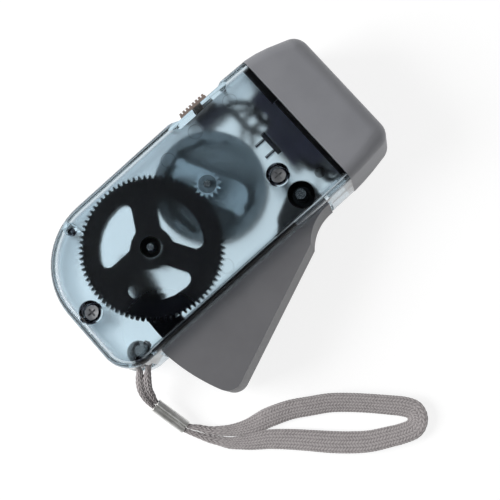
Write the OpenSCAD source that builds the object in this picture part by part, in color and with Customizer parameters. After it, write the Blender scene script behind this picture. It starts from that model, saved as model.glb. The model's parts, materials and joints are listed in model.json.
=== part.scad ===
// Hand-press dynamo flashlight: a clear two-part case with a squeeze lever, a rack and
// gear train, a flywheel generator and a lamp head.
// Frame: origin on the flat back face, at mid length and mid width of the case.
// +X is the beam, +Y the switch side, -Y the lever side, +Z up from the back face.

/* [Case] */
// Length of the body, tail to head front
body_len = 102.4; // [98:0.2:108]
// Width of the case, lever side to switch side
body_w = 47.2; // [46.6:0.2:52]
// Thickness of the case, back face to upper face
body_t = 29; // [28:0.5:32]
// Wall of both case halves
wall = 2; // [1.6:0.1:2.4]
// Rounding of the long outer edges
edge_r = 4; // [3:0.25:4.5]
// Plan radius of the tail corner on the switch side
tail_r_switch = 22; // [16:1:24]
// Plan radius of the tail corner on the lever side
tail_r_lever = 9; // [8:0.5:12]
// Depth of the switch recess below the case side
recess_depth = 2; // [1.4:0.1:2.6]
// How much narrower the case is at the head joint
neck_in = 1; // [0.4:0.1:2]

/* [Head] */
// Length of the head cap
head_len = 17.1; // [15:0.1:22]
// Wall of the head cap
head_wall = 1.8; // [1.4:0.1:2.2]
// Rounding of the front corners
head_corner_r = 5; // [3.5:0.5:7]
// Narrowing of the head front on the switch side
head_in_switch = 3; // [1:0.1:4]
// Narrowing of the head front on the lever side
head_in_lever = 1.3; // [0.6:0.1:4]
// Narrowing of the head front above and below
head_in_z = 1.4; // [0.6:0.1:3]
// Radius of each lamp bowl at its mouth
bowl_r = 7; // [6:0.1:7.6]
// Distance between the two lamps
lamp_gap = 17.2; // [16.4:0.2:19]

/* [Gear train] */
// Teeth of the large gear
gear_teeth = 82; // [78:1:84]
// Teeth of the rotor pinion
rotor_teeth = 14; // [13:1:15]
// Module of the large gear and the rotor pinion
gear_module = 0.5; // [0.48:0.01:0.52]
// Teeth of the small pinion that the rack drives
pinion_teeth = 12; // [11:1:13]
// Module of the rack and its pinion
rack_module = 0.7; // [0.66:0.01:0.74]
// Thickness of the large gear
gear_t = 3; // [2.4:0.1:3.4]
// Distance of the gear axle from the tail
gear_from_tail = 30.4; // [29.5:0.1:32]
// Direction from the gear axle to the rotor axle, in degrees
rotor_dir = 6.2; // [0:0.1:9]
// Radius of the gear axle and the rotor axle
axle_r = 1; // [0.8:0.05:1.2]

/* [Lever] */
// Squeeze of the lever, in degrees
lever_travel = 19; // [14:0.5:20]
// Slope of the lever's outer face at rest, in degrees
lever_slope = 21.45; // [19:0.05:24]
// Distance from the pivot to the outer face
lever_drop = 8.06; // [7:0.02:9]
// Width of the lever
lever_w = 17; // [15:0.5:17.5]
// Wall of the lever
lever_wall = 1.6; // [1.2:0.1:2]
// Distance of the pivot behind the head joint
pivot_from_head = 13.4; // [12.6:0.1:14]
// Distance of the pivot from the lever side of the case
pivot_from_side = 6; // [5.4:0.1:6.6]
// Radius of the pivot pin
pin_r = 1.5; // [1.2:0.1:1.8]
// Thickness of the toothed rack
rack_t = 6; // [4.5:0.5:7]

/* [Generator] */
// Radius of the flywheel
flywheel_r = 16.3; // [15:0.1:16.4]
// Height of the claw-pole stator
stator_h = 11; // [10:0.1:11.4]
// Outer radius of the ring magnet
magnet_r = 6.4; // [5.6:0.1:7]
// Outer radius of the stator cup
stator_r = 14; // [13:0.1:14.6]

/* [Switch] */
// Length of the ribbed switch cap
switch_len = 9.6; // [8:0.1:10.4]
// Travel of the switch cap
switch_travel = 3; // [2:0.1:3]
// Number of ribs on the switch cap
switch_ribs = 8; // [5:1:9]

/* [Spring] */
// Radius of the spring wire
wire_r = 0.4; // [0.3:0.05:0.45]
// Mean radius of the spring coil
spring_r = 3; // [2.8:0.1:3.3]
// Whole turns of the spring
spring_turns = 5; // [3:1:6]

/* [Hidden] */
$fn = 64;

// Clearances
run_fit = 0.05;
seat_fit = 0.02;
air = 0.3;
eps = 0.01;
blind = 0.8;
bar_t = 0.5;
boss_root = 0.5;

// Case planes
half_l = body_len / 2;
half_w = body_w / 2;
tail_x = -half_l;
front_x = half_l;
seam_x = front_x - head_len;
split_z = body_t / 2;
floor_z = wall;
ceil_z = body_t - wall;
neck_y = half_w - neck_in;
recess_y = half_w - recess_depth;
recess_x0 = seam_x - 28.4;
recess_slope = 3.5;
recess_floor_x0 = recess_x0 + recess_slope;
recess_floor_x1 = seam_x - 10.1;
recess_x1 = seam_x - 7.1;

// Head joint: a spigot of the case inside the head's rear rim
spigot_len = 2.4;
spigot_in = 1.05;
spigot_wall = 0.85;

// Gear train
gear_x = tail_x + gear_from_tail;
gear_y = 0;
gear_pitch_r = gear_teeth * gear_module / 2;
rotor_pitch_r = rotor_teeth * gear_module / 2;
axle_distance = gear_pitch_r + rotor_pitch_r;
rotor_x = gear_x + axle_distance * cos(rotor_dir);
rotor_y = gear_y + axle_distance * sin(rotor_dir);
gear_z1 = ceil_z - 1.2;
gear_z0 = gear_z1 - gear_t;
pinion_pitch_r = pinion_teeth * rack_module / 2;
gear_web_r = gear_pitch_r - 5.3;
gear_hub_r = 6.1;
gear_spoke = 7;
window_r = 2.2;
gear_boss_r = 3;
gear_boss_h = 2.4;
teeth_slack = 0.14;

// Lever and rack
pivot_x = seam_x - pivot_from_head;
pivot_y = -half_w + pivot_from_side;
lever_z1 = gear_z0 - 0.9;
lever_z0 = lever_z1 - lever_w;
mesh_dx = gear_x - pivot_x;
mesh_dy = gear_y - pivot_y;
mesh_dist = norm([mesh_dx, mesh_dy]);
mesh_dir = atan2(mesh_dy, mesh_dx);
rack_pitch_r = mesh_dist + pinion_pitch_r;
rack_band = 7.7;
rack_back_r = rack_pitch_r + rack_band;
rack_step = 360 / pinion_teeth * pinion_pitch_r / rack_pitch_r;
rack_lead = 2.2;
rack_teeth = ceil((lever_travel + 2 * rack_lead + 2) / rack_step);
rack_tail_dir = 180 + lever_slope + 4;
rack_z0 = lever_z0 + lever_w / 2 - 1.5 - rack_t / 2;
rack_z1 = rack_z0 + rack_t;
lever_plate = 1.8;
rack_end_gap = 0.45;
lever_end_r = rack_back_r + lever_plate + rack_end_gap;
lever_corner_r = 4.5;
lever_lip = pivot_from_side - 0.7;
lever_step_r = 14;
lever_step = [3.5, -lever_drop - 12.44];
lever_seam_u = -6;
lever_seam_lean = 26;
lever_seam = 0.3;
wall_reach = half_w - wall - air - pivot_y;
lever_root_x = 4.4;
ear_r = 4.6;
pivot_boss_r = pivot_from_side - wall - air;
slot_gap = 0.5;
slot_x0 = pivot_x - lever_end_r - 0.8;
slot_x1 = pivot_x + 5.4;
slot_z0 = lever_z0 - slot_gap;
slot_z1 = lever_z1 + slot_gap;

// Rack fixing inside the lever, in the lever's own slanted axes
foot_v = -lever_drop + lever_plate + 4.2;
foot_t = 2;
foot_u0 = -rack_back_r + 1;
foot_u1 = -rack_pitch_r + 13;
foot_w = 9;
foot_screw_in = [4, 10];
foot_screws = [for (reach = foot_screw_in) reach - rack_pitch_r];
foot_boss_r = 2.2;
rack_screw_r = 0.9;
rack_screw_grip = 3.4;
rack_head_r = 1.7;
rack_head_h = 1.2;
rack_hole = 4;
rack_mid_z = (rack_z0 + rack_z1) / 2;

// Generator stack
plate_t = 0.8;
stator_z0 = floor_z;
stator_z1 = stator_z0 + stator_h;
wheel_z0 = stator_z1 + 1.2;
wheel_z1 = gear_z0 - 0.8;
pawl_z1 = wheel_z1 - 0.2;
pawl_t = 3;
pawl_z0 = pawl_z1 - pawl_t;
wheel_deck = pawl_z0 - air;
ratchet_r = flywheel_r - 2;
ratchet_depth = 1;
ratchet_teeth = 12;
sleeve_r = 2.9;
sleeve_z0 = stator_z0 + plate_t + 0.4;
claw_r = magnet_r + 0.5;
claw_t = 0.8;
claws = 4;
claw_span = 28;
claw_end_gap = 0.8;
bobbin_r = claw_r + claw_t + air;
bobbin_wall = 0.8;
bobbin_flange_r = stator_r - plate_t - 0.2;
axle_seat_z0 = blind;
axle_seat_z1 = body_t - blind;
rotor_boss_r = 2.6;

// Case screws
screw_r = 1.2;
screw_head_r = 2.1;
screw_head_h = 1.6;
screw_boss_r = 3.4;
screw_well_r = 2.4;
screw_sink = 2.5;
screw_seat_z = body_t - screw_sink - screw_head_h;
screw_tip_z = floor_z + 2.6;
screw_cross = 0.55;
case_screw_at = [
  [tail_x + 5.6, -2.5],
  [pivot_x - 1.1, pivot_y + 8.5]
];

// Locating pin, spring post, strap post
dowel_at = [tail_x + 16.7, half_w - 4.3];
dowel_r = 1.3;
dowel_boss_r = 1.9;
dowel_h = 4;
spring_post = [pivot_x + 7.7, pivot_y + 0.3];
spring_post_r = 1.5;
strap_post = [tail_x + 8.2, -half_w + 5];
strap_post_r = 1.6;
strap_exit_dir = 228;
strap_slot_w = 6.8;
strap_slot_h = 8;

// Lamp head
holder_x1 = seam_x - 0.1;
holder_t = 1.4;
holder_x0 = holder_x1 - holder_t;
holder_in = wall + 0.2;
cell_r = 5.8;
cell_t = 5.4;
cell_step = 0.5;
cell_y = -2.6;
cell_box_wall = 0.8;
cell_fit = 0.15;
cell_box_half = cell_r + cell_fit + cell_box_wall;
cell_box_x0 = holder_x0 - cell_t - 2.6;
cell_x0 = cell_box_x0 + 0.6;
land_t = 3.8;
land_y0 = -13.6;
land_y1 = 13;
land_half_z = 9.5;
contact_t = 0.4;
board_x0 = seam_x + spigot_len + 0.1;
board_t = 1.4;
board_x1 = board_x0 + board_t;
board_w = 31;
board_h = 15;
board_post_r = 1.6;
board_post_in = 2.5;
led_r = 2.5;
led_rim = 0.4;
led_rim_h = 1;
led_body = 4.2;
led_gap = 0.3;
lens_x1 = front_x - head_wall;
lens_flange = 1.2;
lens_x0 = lens_x1 - lens_flange;
lens_rim = 1.6;
lens_set = 0.4;
window_gap = 0.4;
window_r_head = bowl_r + window_gap;
lens_fit = 0.1;
bowl_x1 = lens_x0;
bowl_x0 = board_x1 + 1.6;
bowl_wall = 0.5;
bowl_plate = 1;
head_y0 = -half_w;
head_rings = [0.3, 0.6];
head_bend = 1.4;

// Switch
switch_x0 = recess_floor_x0 + 1.1;
switch_lip = 0.2;
switch_base_len = switch_len + 5 * switch_lip;
switch_base_t = 0.9;
switch_gap = 0.1;
switch_rise = 2.6;
switch_z_half = 6.4;
grip_z_half = 5.6;
rib_h = 0.6;
stem_len = 3;
stem_half_z = 1.8;
stem_in = 4;
stem_reach = 1.8;
switch_body_before = 1.7;
switch_body_after = 2;
stem_x0 = switch_x0 + stem_in;
stem_y0 = recess_y - wall - stem_reach;
switch_body_x0 = stem_x0 - switch_body_before;
switch_body_x1 = stem_x0 + stem_len + switch_travel + switch_body_after;
switch_body_h = 3.1;
switch_body_z_half = 4;

// Spring: left-handed coil that winds up as the lever is squeezed
spring_pitch = 2 * wire_r + 0.6;
spring_rings = 8;
spring_z0 = lever_z0 + lever_wall + 4;
wire_sides = 6;
spring_tail = 1.6;
post_off = [spring_post.x - pivot_x, spring_post.y - pivot_y];
post_reach = spring_post_r + wire_r + run_fit;
spring_a0 = atan2(post_off.y, post_off.x) - acos((spring_r + post_reach) / norm(post_off));
post_touch = post_off - post_reach * [cos(spring_a0), sin(spring_a0)];
lever_touch_u = -16;
lever_touch_v = -lever_drop + lever_plate + wire_r + run_fit;
lever_touch = turn([lever_touch_u, lever_touch_v], lever_slope);
lever_leg_end = turn([lever_touch_u - spring_tail, lever_touch_v], lever_slope);

// Strap route: centre, width and height of the braid at each point, in millimetres.
// Both ends meet behind the strap post; the two strands run side by side to the ferrule.
strap_route = [
  [-40.9, -17.0, 14.5, 1.5, 2.6], [-40.4, -18.7, 14.5, 1.5, 2.6], [-41.2, -20.5, 14.5, 1.5, 2.6],
  [-43.2, -21.9, 14.3, 1.5, 2.6], [-45.5, -23.4, 13.6, 1.7, 2.6], [-47.1, -24.7, 12.4, 1.8, 2.6],
  [-48.4, -25.8, 11.0, 1.8, 2.5], [-49.6, -27.2, 9.0, 1.7, 2.3], [-50.4, -29.0, 6.7, 1.6, 2.0],
  [-50.8, -31.2, 4.9, 1.5, 1.7], [-49.7, -36.5, 3.6, 1.5, 1.7], [-48.7, -41.8, 2.3, 1.5, 1.7],
  [-46.7, -45.2, 1.7, 2.4, 2.0], [-42.4, -48.6, 1.3, 4.0, 2.0],
  [-38.0, -51.5, 1.2, 5.0, 2.0], [-32.5, -54.5, 1.2, 5.4, 2.0], [-24.6, -57.3, 1.3, 5.2, 2.2],
  [-19.5, -59.8, 1.5, 5.0, 2.4], [-14.6, -62.8, 1.6, 4.8, 2.8], [-10.0, -66.6, 1.8, 4.6, 3.2],
  [-6.0, -70.4, 2.0, 4.4, 3.6], [-2.0, -74.6, 2.2, 4.0, 4.0], [1.6, -78.6, 2.5, 3.4, 4.4],
  [4.3, -82.0, 2.7, 2.6, 5.0], [5.6, -84.6, 2.9, 2.0, 5.4], [5.4, -87.0, 2.9, 1.8, 5.4],
  [3.4, -88.4, 2.9, 2.0, 5.4], [0.4, -87.8, 2.7, 2.6, 5.0], [-4.6, -85.2, 2.4, 3.6, 4.2],
  [-9.3, -82.2, 2.0, 4.6, 3.4], [-13.6, -79.4, 1.6, 5.2, 2.8], [-17.7, -76.2, 1.4, 5.4, 2.4],
  [-22.5, -71.6, 1.3, 5.4, 2.2], [-26.4, -67.4, 1.2, 5.4, 2.0], [-30.2, -63.6, 1.2, 5.4, 2.0],
  [-35.4, -59.6, 1.2, 5.4, 2.0], [-41.1, -55.6, 1.2, 5.0, 2.0], [-45.6, -51.2, 1.3, 4.0, 2.0],
  [-48.6, -46.6, 1.7, 2.4, 2.0], [-50.2, -42.2, 2.3, 1.5, 1.7], [-51.3, -36.9, 3.6, 1.5, 1.7],
  [-52.3, -31.6, 4.9, 1.5, 1.7], [-52.2, -28.6, 6.7, 1.6, 2.0], [-51.4, -26.2, 9.0, 1.7, 2.3],
  [-50.2, -24.3, 11.0, 1.8, 2.5], [-48.9, -22.9, 12.4, 1.8, 2.6], [-47.4, -21.6, 13.6, 1.7, 2.6],
  [-46.2, -19.2, 14.3, 1.5, 2.6], [-45.1, -17.0, 14.5, 1.5, 2.6], [-43.3, -16.0, 14.5, 1.5, 2.6],
  [-42.4, -16.1, 14.5, 1.5, 2.6]
];
strap_sides = 8;
ferrule_from = [-51.55, -31.4, 4.9];
ferrule_to = [-49.45, -42, 2.3];
ferrule_r = 1.25;
ferrule_bore_r = 0.98;
ferrule_half = 0.8;

// Vector helpers
function turn(p, a) = [p.x * cos(a) - p.y * sin(a), p.x * sin(a) + p.y * cos(a)];
function unit(v) = v / norm(v);
function tangent_dir(path, i) =
  unit(path[min(i + 1, len(path) - 1)] - path[max(i - 1, 0)]);

// Points of a tube along a path: ring i has the half sizes half[i], level sideways
function ring_points(path, half, sides) = [
  for (i = [0 : len(path) - 1])
    let (t = tangent_dir(path, i), side = unit(cross(t, [0, 0, 1])), top = cross(side, t))
      for (k = [0 : sides - 1])
        path[i] + side * half[i].x * cos(360 * k / sides) + top * half[i].y * sin(360 * k / sides)
];

// Faces of that tube, as triangles, with both ends closed
function tube_faces(rings, sides) = concat(
  [for (i = [0 : rings - 2], k = [0 : sides - 1])
    let (a = i * sides + k, b = i * sides + (k + 1) % sides) [a, b + sides, b]],
  [for (i = [0 : rings - 2], k = [0 : sides - 1])
    let (a = i * sides + k, b = i * sides + (k + 1) % sides) [a, a + sides, b + sides]],
  [for (k = [1 : sides - 2]) [0, k, k + 1]],
  [for (k = [1 : sides - 2])
    let (z = (rings - 1) * sides) [z, z + k + 1, z + k]]
);

module tube(path, half, sides) {
  polyhedron(points = ring_points(path, half, sides), faces = tube_faces(len(path), sides), convexity = 10);
}

// Spring wire: post leg, left-handed coil, lever leg, about the pivot
spring_a1 = atan2(lever_touch.y, lever_touch.x) + acos(spring_r / norm(lever_touch));
spring_sweep = 360 * spring_turns + (spring_a0 - spring_a1 + 720) % 360;
spring_z1 = spring_z0 + spring_pitch * spring_sweep / 360;
spring_points = ceil(spring_sweep / 360 * spring_rings);
function coil_point(f) = [
  spring_r * cos(spring_a0 - spring_sweep * f),
  spring_r * sin(spring_a0 - spring_sweep * f),
  spring_z0 + (spring_z1 - spring_z0) * f
];
post_leg_end = post_touch + spring_tail * unit(post_touch - spring_r * [cos(spring_a0), sin(spring_a0)]);
spring_path = concat(
  [[post_leg_end.x, post_leg_end.y, spring_z0], [post_touch.x, post_touch.y, spring_z0]],
  [for (i = [0 : spring_points]) coil_point(i / spring_points)],
  [[lever_touch.x, lever_touch.y, spring_z1], [lever_leg_end.x, lever_leg_end.y, spring_z1]]
);

// Least gap between points a half turn or more apart along the coil
spring_gap = min([
  for (i = [0 : spring_points], j = [i + spring_rings / 2 : 1 : spring_points])
    norm(coil_point(i / spring_points) - coil_point(j / spring_points))
]) - 2 * wire_r;
echo(spring_gap = spring_gap);

// A gear outline with flanks of two straight stretches; a tooth stands at angle 0
function flank(r, half) = half / r * 180 / PI;
module gear_outline(teeth, m, slack) {
  pitch_r = teeth * m / 2;
  half = PI * m / 4 - slack / 2;
  root_r = pitch_r - 1.2 * m;
  tip_r = pitch_r + 0.95 * m;
  steps = [
    [root_r, -half * 1.45], [pitch_r, -half], [tip_r, -half * 0.38],
    [tip_r, half * 0.38], [pitch_r, half], [root_r, half * 1.45]
  ];
  polygon([
    for (i = [0 : teeth - 1], s = steps)
      let (a = 360 * i / teeth + flank(s[0], s[1])) [s[0] * cos(a), s[0] * sin(a)]
  ]);
}

// Rounded rectangle of the case section, in Y and Z
module section(y0, y1, inset) {
  r = edge_r - inset;
  for (y = [y0 + inset + r, y1 - inset - r], z = [inset + r, body_t - inset - r])
    translate([y, z]) circle(r);
  translate([y0 + inset, inset + r]) square([y1 - y0 - 2 * inset, body_t - 2 * inset - 2 * r]);
  translate([y0 + inset + r, inset]) square([y1 - y0 - 2 * inset - 2 * r, body_t - 2 * inset]);
}

module along_x(x0, length) {
  translate([x0, 0, 0]) rotate([90, 0, 90]) linear_extrude(length) children();
}

// Half of the case form above the split, as a solid inset all round
module tail_disc(at, r, inset) {
  e = edge_r - inset;
  h = split_z - inset;
  translate([at.x, at.y, split_z]) rotate_extrude($fn = 64)
    intersection() {
      union() {
        square([r - inset, h - e]);
        square([r - inset - e, h]);
        translate([r - inset - e, h - e]) circle(e, $fn = 24);
      }
      square([r, h]);
    }
}

module front_bar(x, y1, inset) {
  e = edge_r - inset;
  along_x(x, bar_t)
    for (y = [-half_w + inset, y1 - inset - 2 * e]) {
      translate([y, split_z]) square([2 * e, split_z - inset - e]);
      translate([y + e, body_t - inset - e]) circle(e, $fn = 24);
    }
}

module half_form(inset, x_end) {
  hull() {
    tail_disc([tail_x + tail_r_switch, half_w - tail_r_switch], tail_r_switch, inset);
    tail_disc([tail_x + tail_r_lever, -half_w + tail_r_lever], tail_r_lever, inset);
    front_bar(recess_x0, half_w, inset);
    front_bar(x_end - bar_t, neck_y, inset);
  }
}

module recess_cut(inset) {
  translate([0, 0, -1]) linear_extrude(body_t + 2)
    polygon([
      [recess_x0 - inset / 2, half_w + 1 - inset], [recess_x0 - inset / 2, half_w - inset],
      [recess_floor_x0 - inset / 2, recess_y - inset], [recess_floor_x1 + inset / 2, recess_y - inset],
      [recess_x1 + inset / 2, half_w - inset], [recess_x1 + inset / 2, half_w + 1 - inset]
    ]);
}

// One case half, as the upper one: walls and spigot
module half_case() {
  difference() {
    half_form(0, seam_x);
    recess_cut(0);
    difference() {
      half_form(wall, seam_x + 1);
      recess_cut(wall);
    }
  }
  spigot();
}

// Openings that the two halves share: lever, switch stem and strap
module shared_cuts() {
  lever_slot();
  switch_slot();
  strap_slot();
}

module spigot() {
  difference() {
    along_x(seam_x - 1, spigot_len + 1) section(-half_w, neck_y, spigot_in);
    along_x(seam_x - 2, spigot_len + 4) section(-half_w, neck_y, spigot_in + spigot_wall);
    translate([seam_x - 3, -body_w, -1]) cube([spigot_len + 6, 2 * body_w, split_z + 1]);
  }
}

module lever_slot() {
  translate([slot_x0, -half_w - 2, slot_z0])
    cube([slot_x1 - slot_x0, wall + 2.4, slot_z1 - slot_z0]);
}

module switch_slot() {
  translate([stem_x0 - air, recess_y - wall - 1, split_z - stem_half_z - air])
    cube([stem_len + switch_travel + 2 * air, wall + 2, 2 * stem_half_z + 2 * air]);
}

module strap_slot() {
  translate([strap_post.x, strap_post.y, split_z - strap_slot_h / 2]) rotate(strap_exit_dir)
    translate([0, -strap_slot_w / 2, 0]) cube([2 * tail_r_lever, strap_slot_w, strap_slot_h]);
}

module post(at, r, z0, z1) {
  translate([at.x, at.y, z0]) cylinder(r = r, h = z1 - z0);
}

module ring_mark(at, r) {
  translate([at.x, at.y, ceil_z - mark_h]) difference() {
    cylinder(r = r, h = mark_h + boss_root);
    translate([0, 0, -1]) cylinder(r = r - mark_line, h = 1 + mark_h);
  }
}

gear_at = [gear_x, gear_y];
rotor_at = [rotor_x, rotor_y];
pivot_at = [pivot_x, pivot_y];
mark_r = 2.1;
mark_h = 0.25;
mark_line = 0.3;
mark_at = [
  [seam_x - 10.5, half_w - 7.5], [seam_x - 23.6, half_w - 7.4],
  [rotor_x - 3.7, half_w - 8.3], [gear_x + 12.4, -half_w + 5.1]
];
rib_x = seam_x - 9.9;
rib_y = -1;
rib_len = 7.6;
rib_w = 1.5;
rib_leg = 3.2;
rib_leg_w = 0.8;
rib_legs = [-2.1, 2.2];
rib_drop = 1.3;

module pi_rib() {
  translate([rib_x - rib_w / 2, rib_y - rib_len / 2, ceil_z - rib_drop])
    cube([rib_w, rib_len, rib_drop + boss_root]);
  for (y = rib_legs)
    translate([rib_x - rib_leg - rib_w / 2, rib_y + y - rib_leg_w / 2, ceil_z - rib_drop])
      cube([rib_leg + boss_root, rib_leg_w, rib_drop + boss_root]);
}

module upper_shell() {
  color("lightblue", 0.5) difference() {
    union() {
      half_case();
      for (at = case_screw_at)
        post(at, screw_boss_r, split_z, ceil_z + boss_root);
      post(gear_at, gear_boss_r, ceil_z - gear_boss_h, ceil_z + boss_root);
      post(rotor_at, rotor_boss_r, ceil_z - mark_h, ceil_z + boss_root);
      post(pivot_at, pivot_boss_r, lever_z1 + air, ceil_z + boss_root);
      post(dowel_at, dowel_boss_r, split_z, ceil_z + boss_root);
      for (at = mark_at)
        ring_mark(at, mark_r);
      pi_rib();
    }
    shared_cuts();
    for (at = case_screw_at) {
      post(at, screw_well_r, screw_seat_z, body_t + 1);
      post(at, screw_r + run_fit, split_z - 1, body_t);
    }
    for (at = [gear_at, rotor_at])
      post(at, axle_r + seat_fit, ceil_z - gear_boss_h - 1, axle_seat_z1);
    post(pivot_at, pin_r + seat_fit, lever_z1, axle_seat_z1);
    post(dowel_at, dowel_r + run_fit, split_z - 1, split_z + dowel_h + air);
  }
}

module lower_shell() {
  color("lightblue", 0.5) difference() {
    union() {
      translate([0, 0, body_t]) mirror([0, 0, 1]) half_case();
      for (at = case_screw_at)
        post(at, screw_boss_r, floor_z - boss_root, split_z);
      post(gear_at, gear_boss_r, floor_z - boss_root, rack_z0 - 2 * air);
      post(rotor_at, sleeve_r - 0.5, floor_z - boss_root, sleeve_z0 - air);
      post(pivot_at, pivot_boss_r, floor_z - boss_root, lever_z0 - air);
      post(dowel_at, dowel_r, floor_z - boss_root, split_z + dowel_h);
      post(spring_post, spring_post_r, floor_z - boss_root, spring_z0 + 2);
    }
    shared_cuts();
    for (at = case_screw_at)
      post(at, screw_r + seat_fit, screw_tip_z - air, split_z + 1);
    for (at = [gear_at, rotor_at])
      post(at, axle_r + seat_fit, axle_seat_z0, split_z);
    post(pivot_at, pin_r + seat_fit, axle_seat_z0, split_z);
  }
  color("lightblue", 0.5) post(strap_post, strap_post_r, floor_z - boss_root, split_z + strap_slot_h / 2);
}

// Head cap
module head_form() {
  hull() {
    along_x(seam_x, bar_t) section(head_y0, neck_y, 0, $fn = 32);
    for (share = head_rings)
      along_x(seam_x + (head_len - head_corner_r) * share, bar_t)
        square_round(
          head_y0 + pow(share, head_bend) * head_in_lever, neck_y - pow(share, head_bend) * head_in_switch,
          pow(share, head_bend) * head_in_z, body_t - pow(share, head_bend) * head_in_z, edge_r
        );
    for (
      y = [head_y0 + head_in_lever + head_corner_r, neck_y - head_in_switch - head_corner_r],
      z = [head_in_z + head_corner_r, body_t - head_in_z - head_corner_r]
    )
      translate([front_x - head_corner_r, y, z]) sphere(head_corner_r, $fn = 32);
  }
}

module square_round(y0, y1, z0, z1, r) {
  for (y = [y0 + r, y1 - r], z = [z0 + r, z1 - r])
    translate([y, z]) circle(r, $fn = 32);
  translate([y0, z0 + r]) square([y1 - y0, z1 - z0 - 2 * r]);
  translate([y0 + r, z0]) square([y1 - y0 - 2 * r, z1 - z0]);
}

lamp_y = (head_y0 + head_in_lever + neck_y - head_in_switch) / 2;

// Stadium outline round both lamps
module lamp_window(r) {
  for (s = [-1, 1])
    translate([lamp_y + s * lamp_gap / 2, split_z]) circle(r);
  translate([lamp_y - lamp_gap / 2, split_z - r]) square([lamp_gap, 2 * r]);
}

module head_cap() {
  color("gray") difference() {
    head_form();
    along_x(seam_x - 1, lens_x1 - seam_x + 1)
      square_round(
        head_y0 + head_in_lever + head_wall, neck_y - head_in_switch - head_wall,
        head_in_z + head_wall, body_t - head_in_z - head_wall, head_corner_r - head_wall
      );
    along_x(seam_x - 1, spigot_len + 1.1) section(head_y0, neck_y, spigot_in - run_fit);
    along_x(lens_x1 - 1, head_wall + 2) lamp_window(window_r_head);
  }
}

module lens() {
  color("white", 0.4) {
    along_x(lens_x0, lens_flange) lamp_window(window_r_head + lens_rim);
    along_x(lens_x1 - eps, head_wall - lens_set) lamp_window(window_r_head - lens_fit);
  }
}

module reflector() {
  color("silver") difference() {
    union() {
      along_x(bowl_x1 - bowl_plate, bowl_plate) lamp_window(window_r_head + lens_rim);
      for (s = [-1, 1])
        translate([bowl_x0, lamp_y + s * lamp_gap / 2, split_z]) rotate([0, 90, 0])
          cylinder(
            r1 = led_r + led_gap + bowl_wall, r2 = bowl_r + bowl_wall,
            h = bowl_x1 - bowl_x0 - bowl_plate / 2
          );
    }
    for (s = [-1, 1])
      translate([bowl_x0 - eps, lamp_y + s * lamp_gap / 2, split_z]) rotate([0, 90, 0])
        cylinder(r1 = led_r + led_gap, r2 = bowl_r, h = bowl_x1 - bowl_x0 + 2 * eps);
  }
}

module leds() {
  color("ivory") for (s = [-1, 1])
    translate([board_x1, lamp_y + s * lamp_gap / 2, split_z]) rotate([0, 90, 0]) {
      cylinder(r = led_r + led_rim, h = led_rim_h);
      cylinder(r = led_r, h = led_body);
      translate([0, 0, led_body]) sphere(led_r);
    }
}

module led_board() {
  color("darkgreen")
    translate([board_x0, lamp_y - board_w / 2, split_z - board_h / 2])
      cube([board_t, board_w, board_h]);
}

diode_r = 0.9;
diode_len = 3.6;
diode_pitch = 2.6;
module diodes() {
  color("black") for (i = [0 : 3])
    translate([board_x0 - diode_r, lamp_y + (i - 1.5) * diode_pitch, split_z - diode_len / 2])
      cylinder(r = diode_r, h = diode_len);
}

module lamp_holder() {
  color([0.1, 0.1, 0.13]) difference() {
    union() {
      along_x(holder_x0, holder_t) section(-half_w, neck_y, holder_in);
      translate([cell_box_x0, cell_y - cell_box_half, split_z - cell_box_half])
        cube([holder_x0 - cell_box_x0 + eps, 2 * cell_box_half, 2 * cell_box_half]);
      translate([holder_x0 - land_t, land_y0, split_z - land_half_z])
        cube([land_t + eps, land_y1 - land_y0, 2 * land_half_z]);
      for (s = [-1, 1])
        translate([holder_x0, lamp_y + s * (board_w / 2 - board_post_in), split_z]) rotate([0, 90, 0])
          cylinder(r = board_post_r, h = board_x0 - holder_x0);
    }
    translate([cell_box_x0 - 1, cell_y, split_z]) rotate([0, 90, 0])
      cylinder(r = cell_r + cell_fit, h = cell_x0 + cell_t - cell_box_x0 + 1);
  }
}

module storage_cell() {
  color("silver") translate([cell_x0, cell_y, split_z]) rotate([0, 90, 0]) {
    cylinder(r = cell_r - 1, h = cell_t);
    translate([0, 0, cell_step]) cylinder(r = cell_r, h = cell_t - cell_step);
  }
}

contact_w = 2.4;
contact_y = 2.2;
contact_half = sqrt(pow(cell_r, 2) - pow(contact_y + contact_w / 2, 2)) - air;
module cell_contacts() {
  color("gold") for (s = [-1, 1])
    translate([cell_x0 - contact_t, cell_y + s * contact_y - contact_w / 2, split_z - contact_half])
      cube([contact_t, contact_w, 2 * contact_half]);
}

// Switch
module switch_body() {
  color([0.12, 0.12, 0.13]) difference() {
    translate([switch_body_x0, recess_y - wall - switch_body_h, split_z - switch_body_z_half])
      cube([switch_body_x1 - switch_body_x0, switch_body_h, 2 * switch_body_z_half]);
    translate([stem_x0 - air, stem_y0 - air, split_z - stem_half_z - air])
      cube([stem_len + switch_travel + 2 * air, switch_body_h, 2 * stem_half_z + 2 * air]);
  }
}

module switch_cap() {
  base_y = recess_y + switch_gap;
  grip_y = base_y + switch_base_t;
  rib_step = switch_len / switch_ribs;
  color("rosybrown") {
    translate([switch_x0 - switch_lip, base_y, split_z - switch_z_half])
      cube([switch_base_len, switch_base_t, 2 * switch_z_half]);
    translate([switch_x0, grip_y - eps, split_z - grip_z_half])
      cube([switch_len, switch_rise - rib_h, 2 * grip_z_half]);
    for (i = [0 : switch_ribs - 1])
      translate([switch_x0 + (i + 0.2) * rib_step, grip_y, split_z - grip_z_half])
        cube([0.6 * rib_step, switch_rise, 2 * grip_z_half]);
    translate([stem_x0, stem_y0, split_z - stem_half_z])
      cube([stem_len, base_y - stem_y0 + eps, 2 * stem_half_z]);
  }
}

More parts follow.
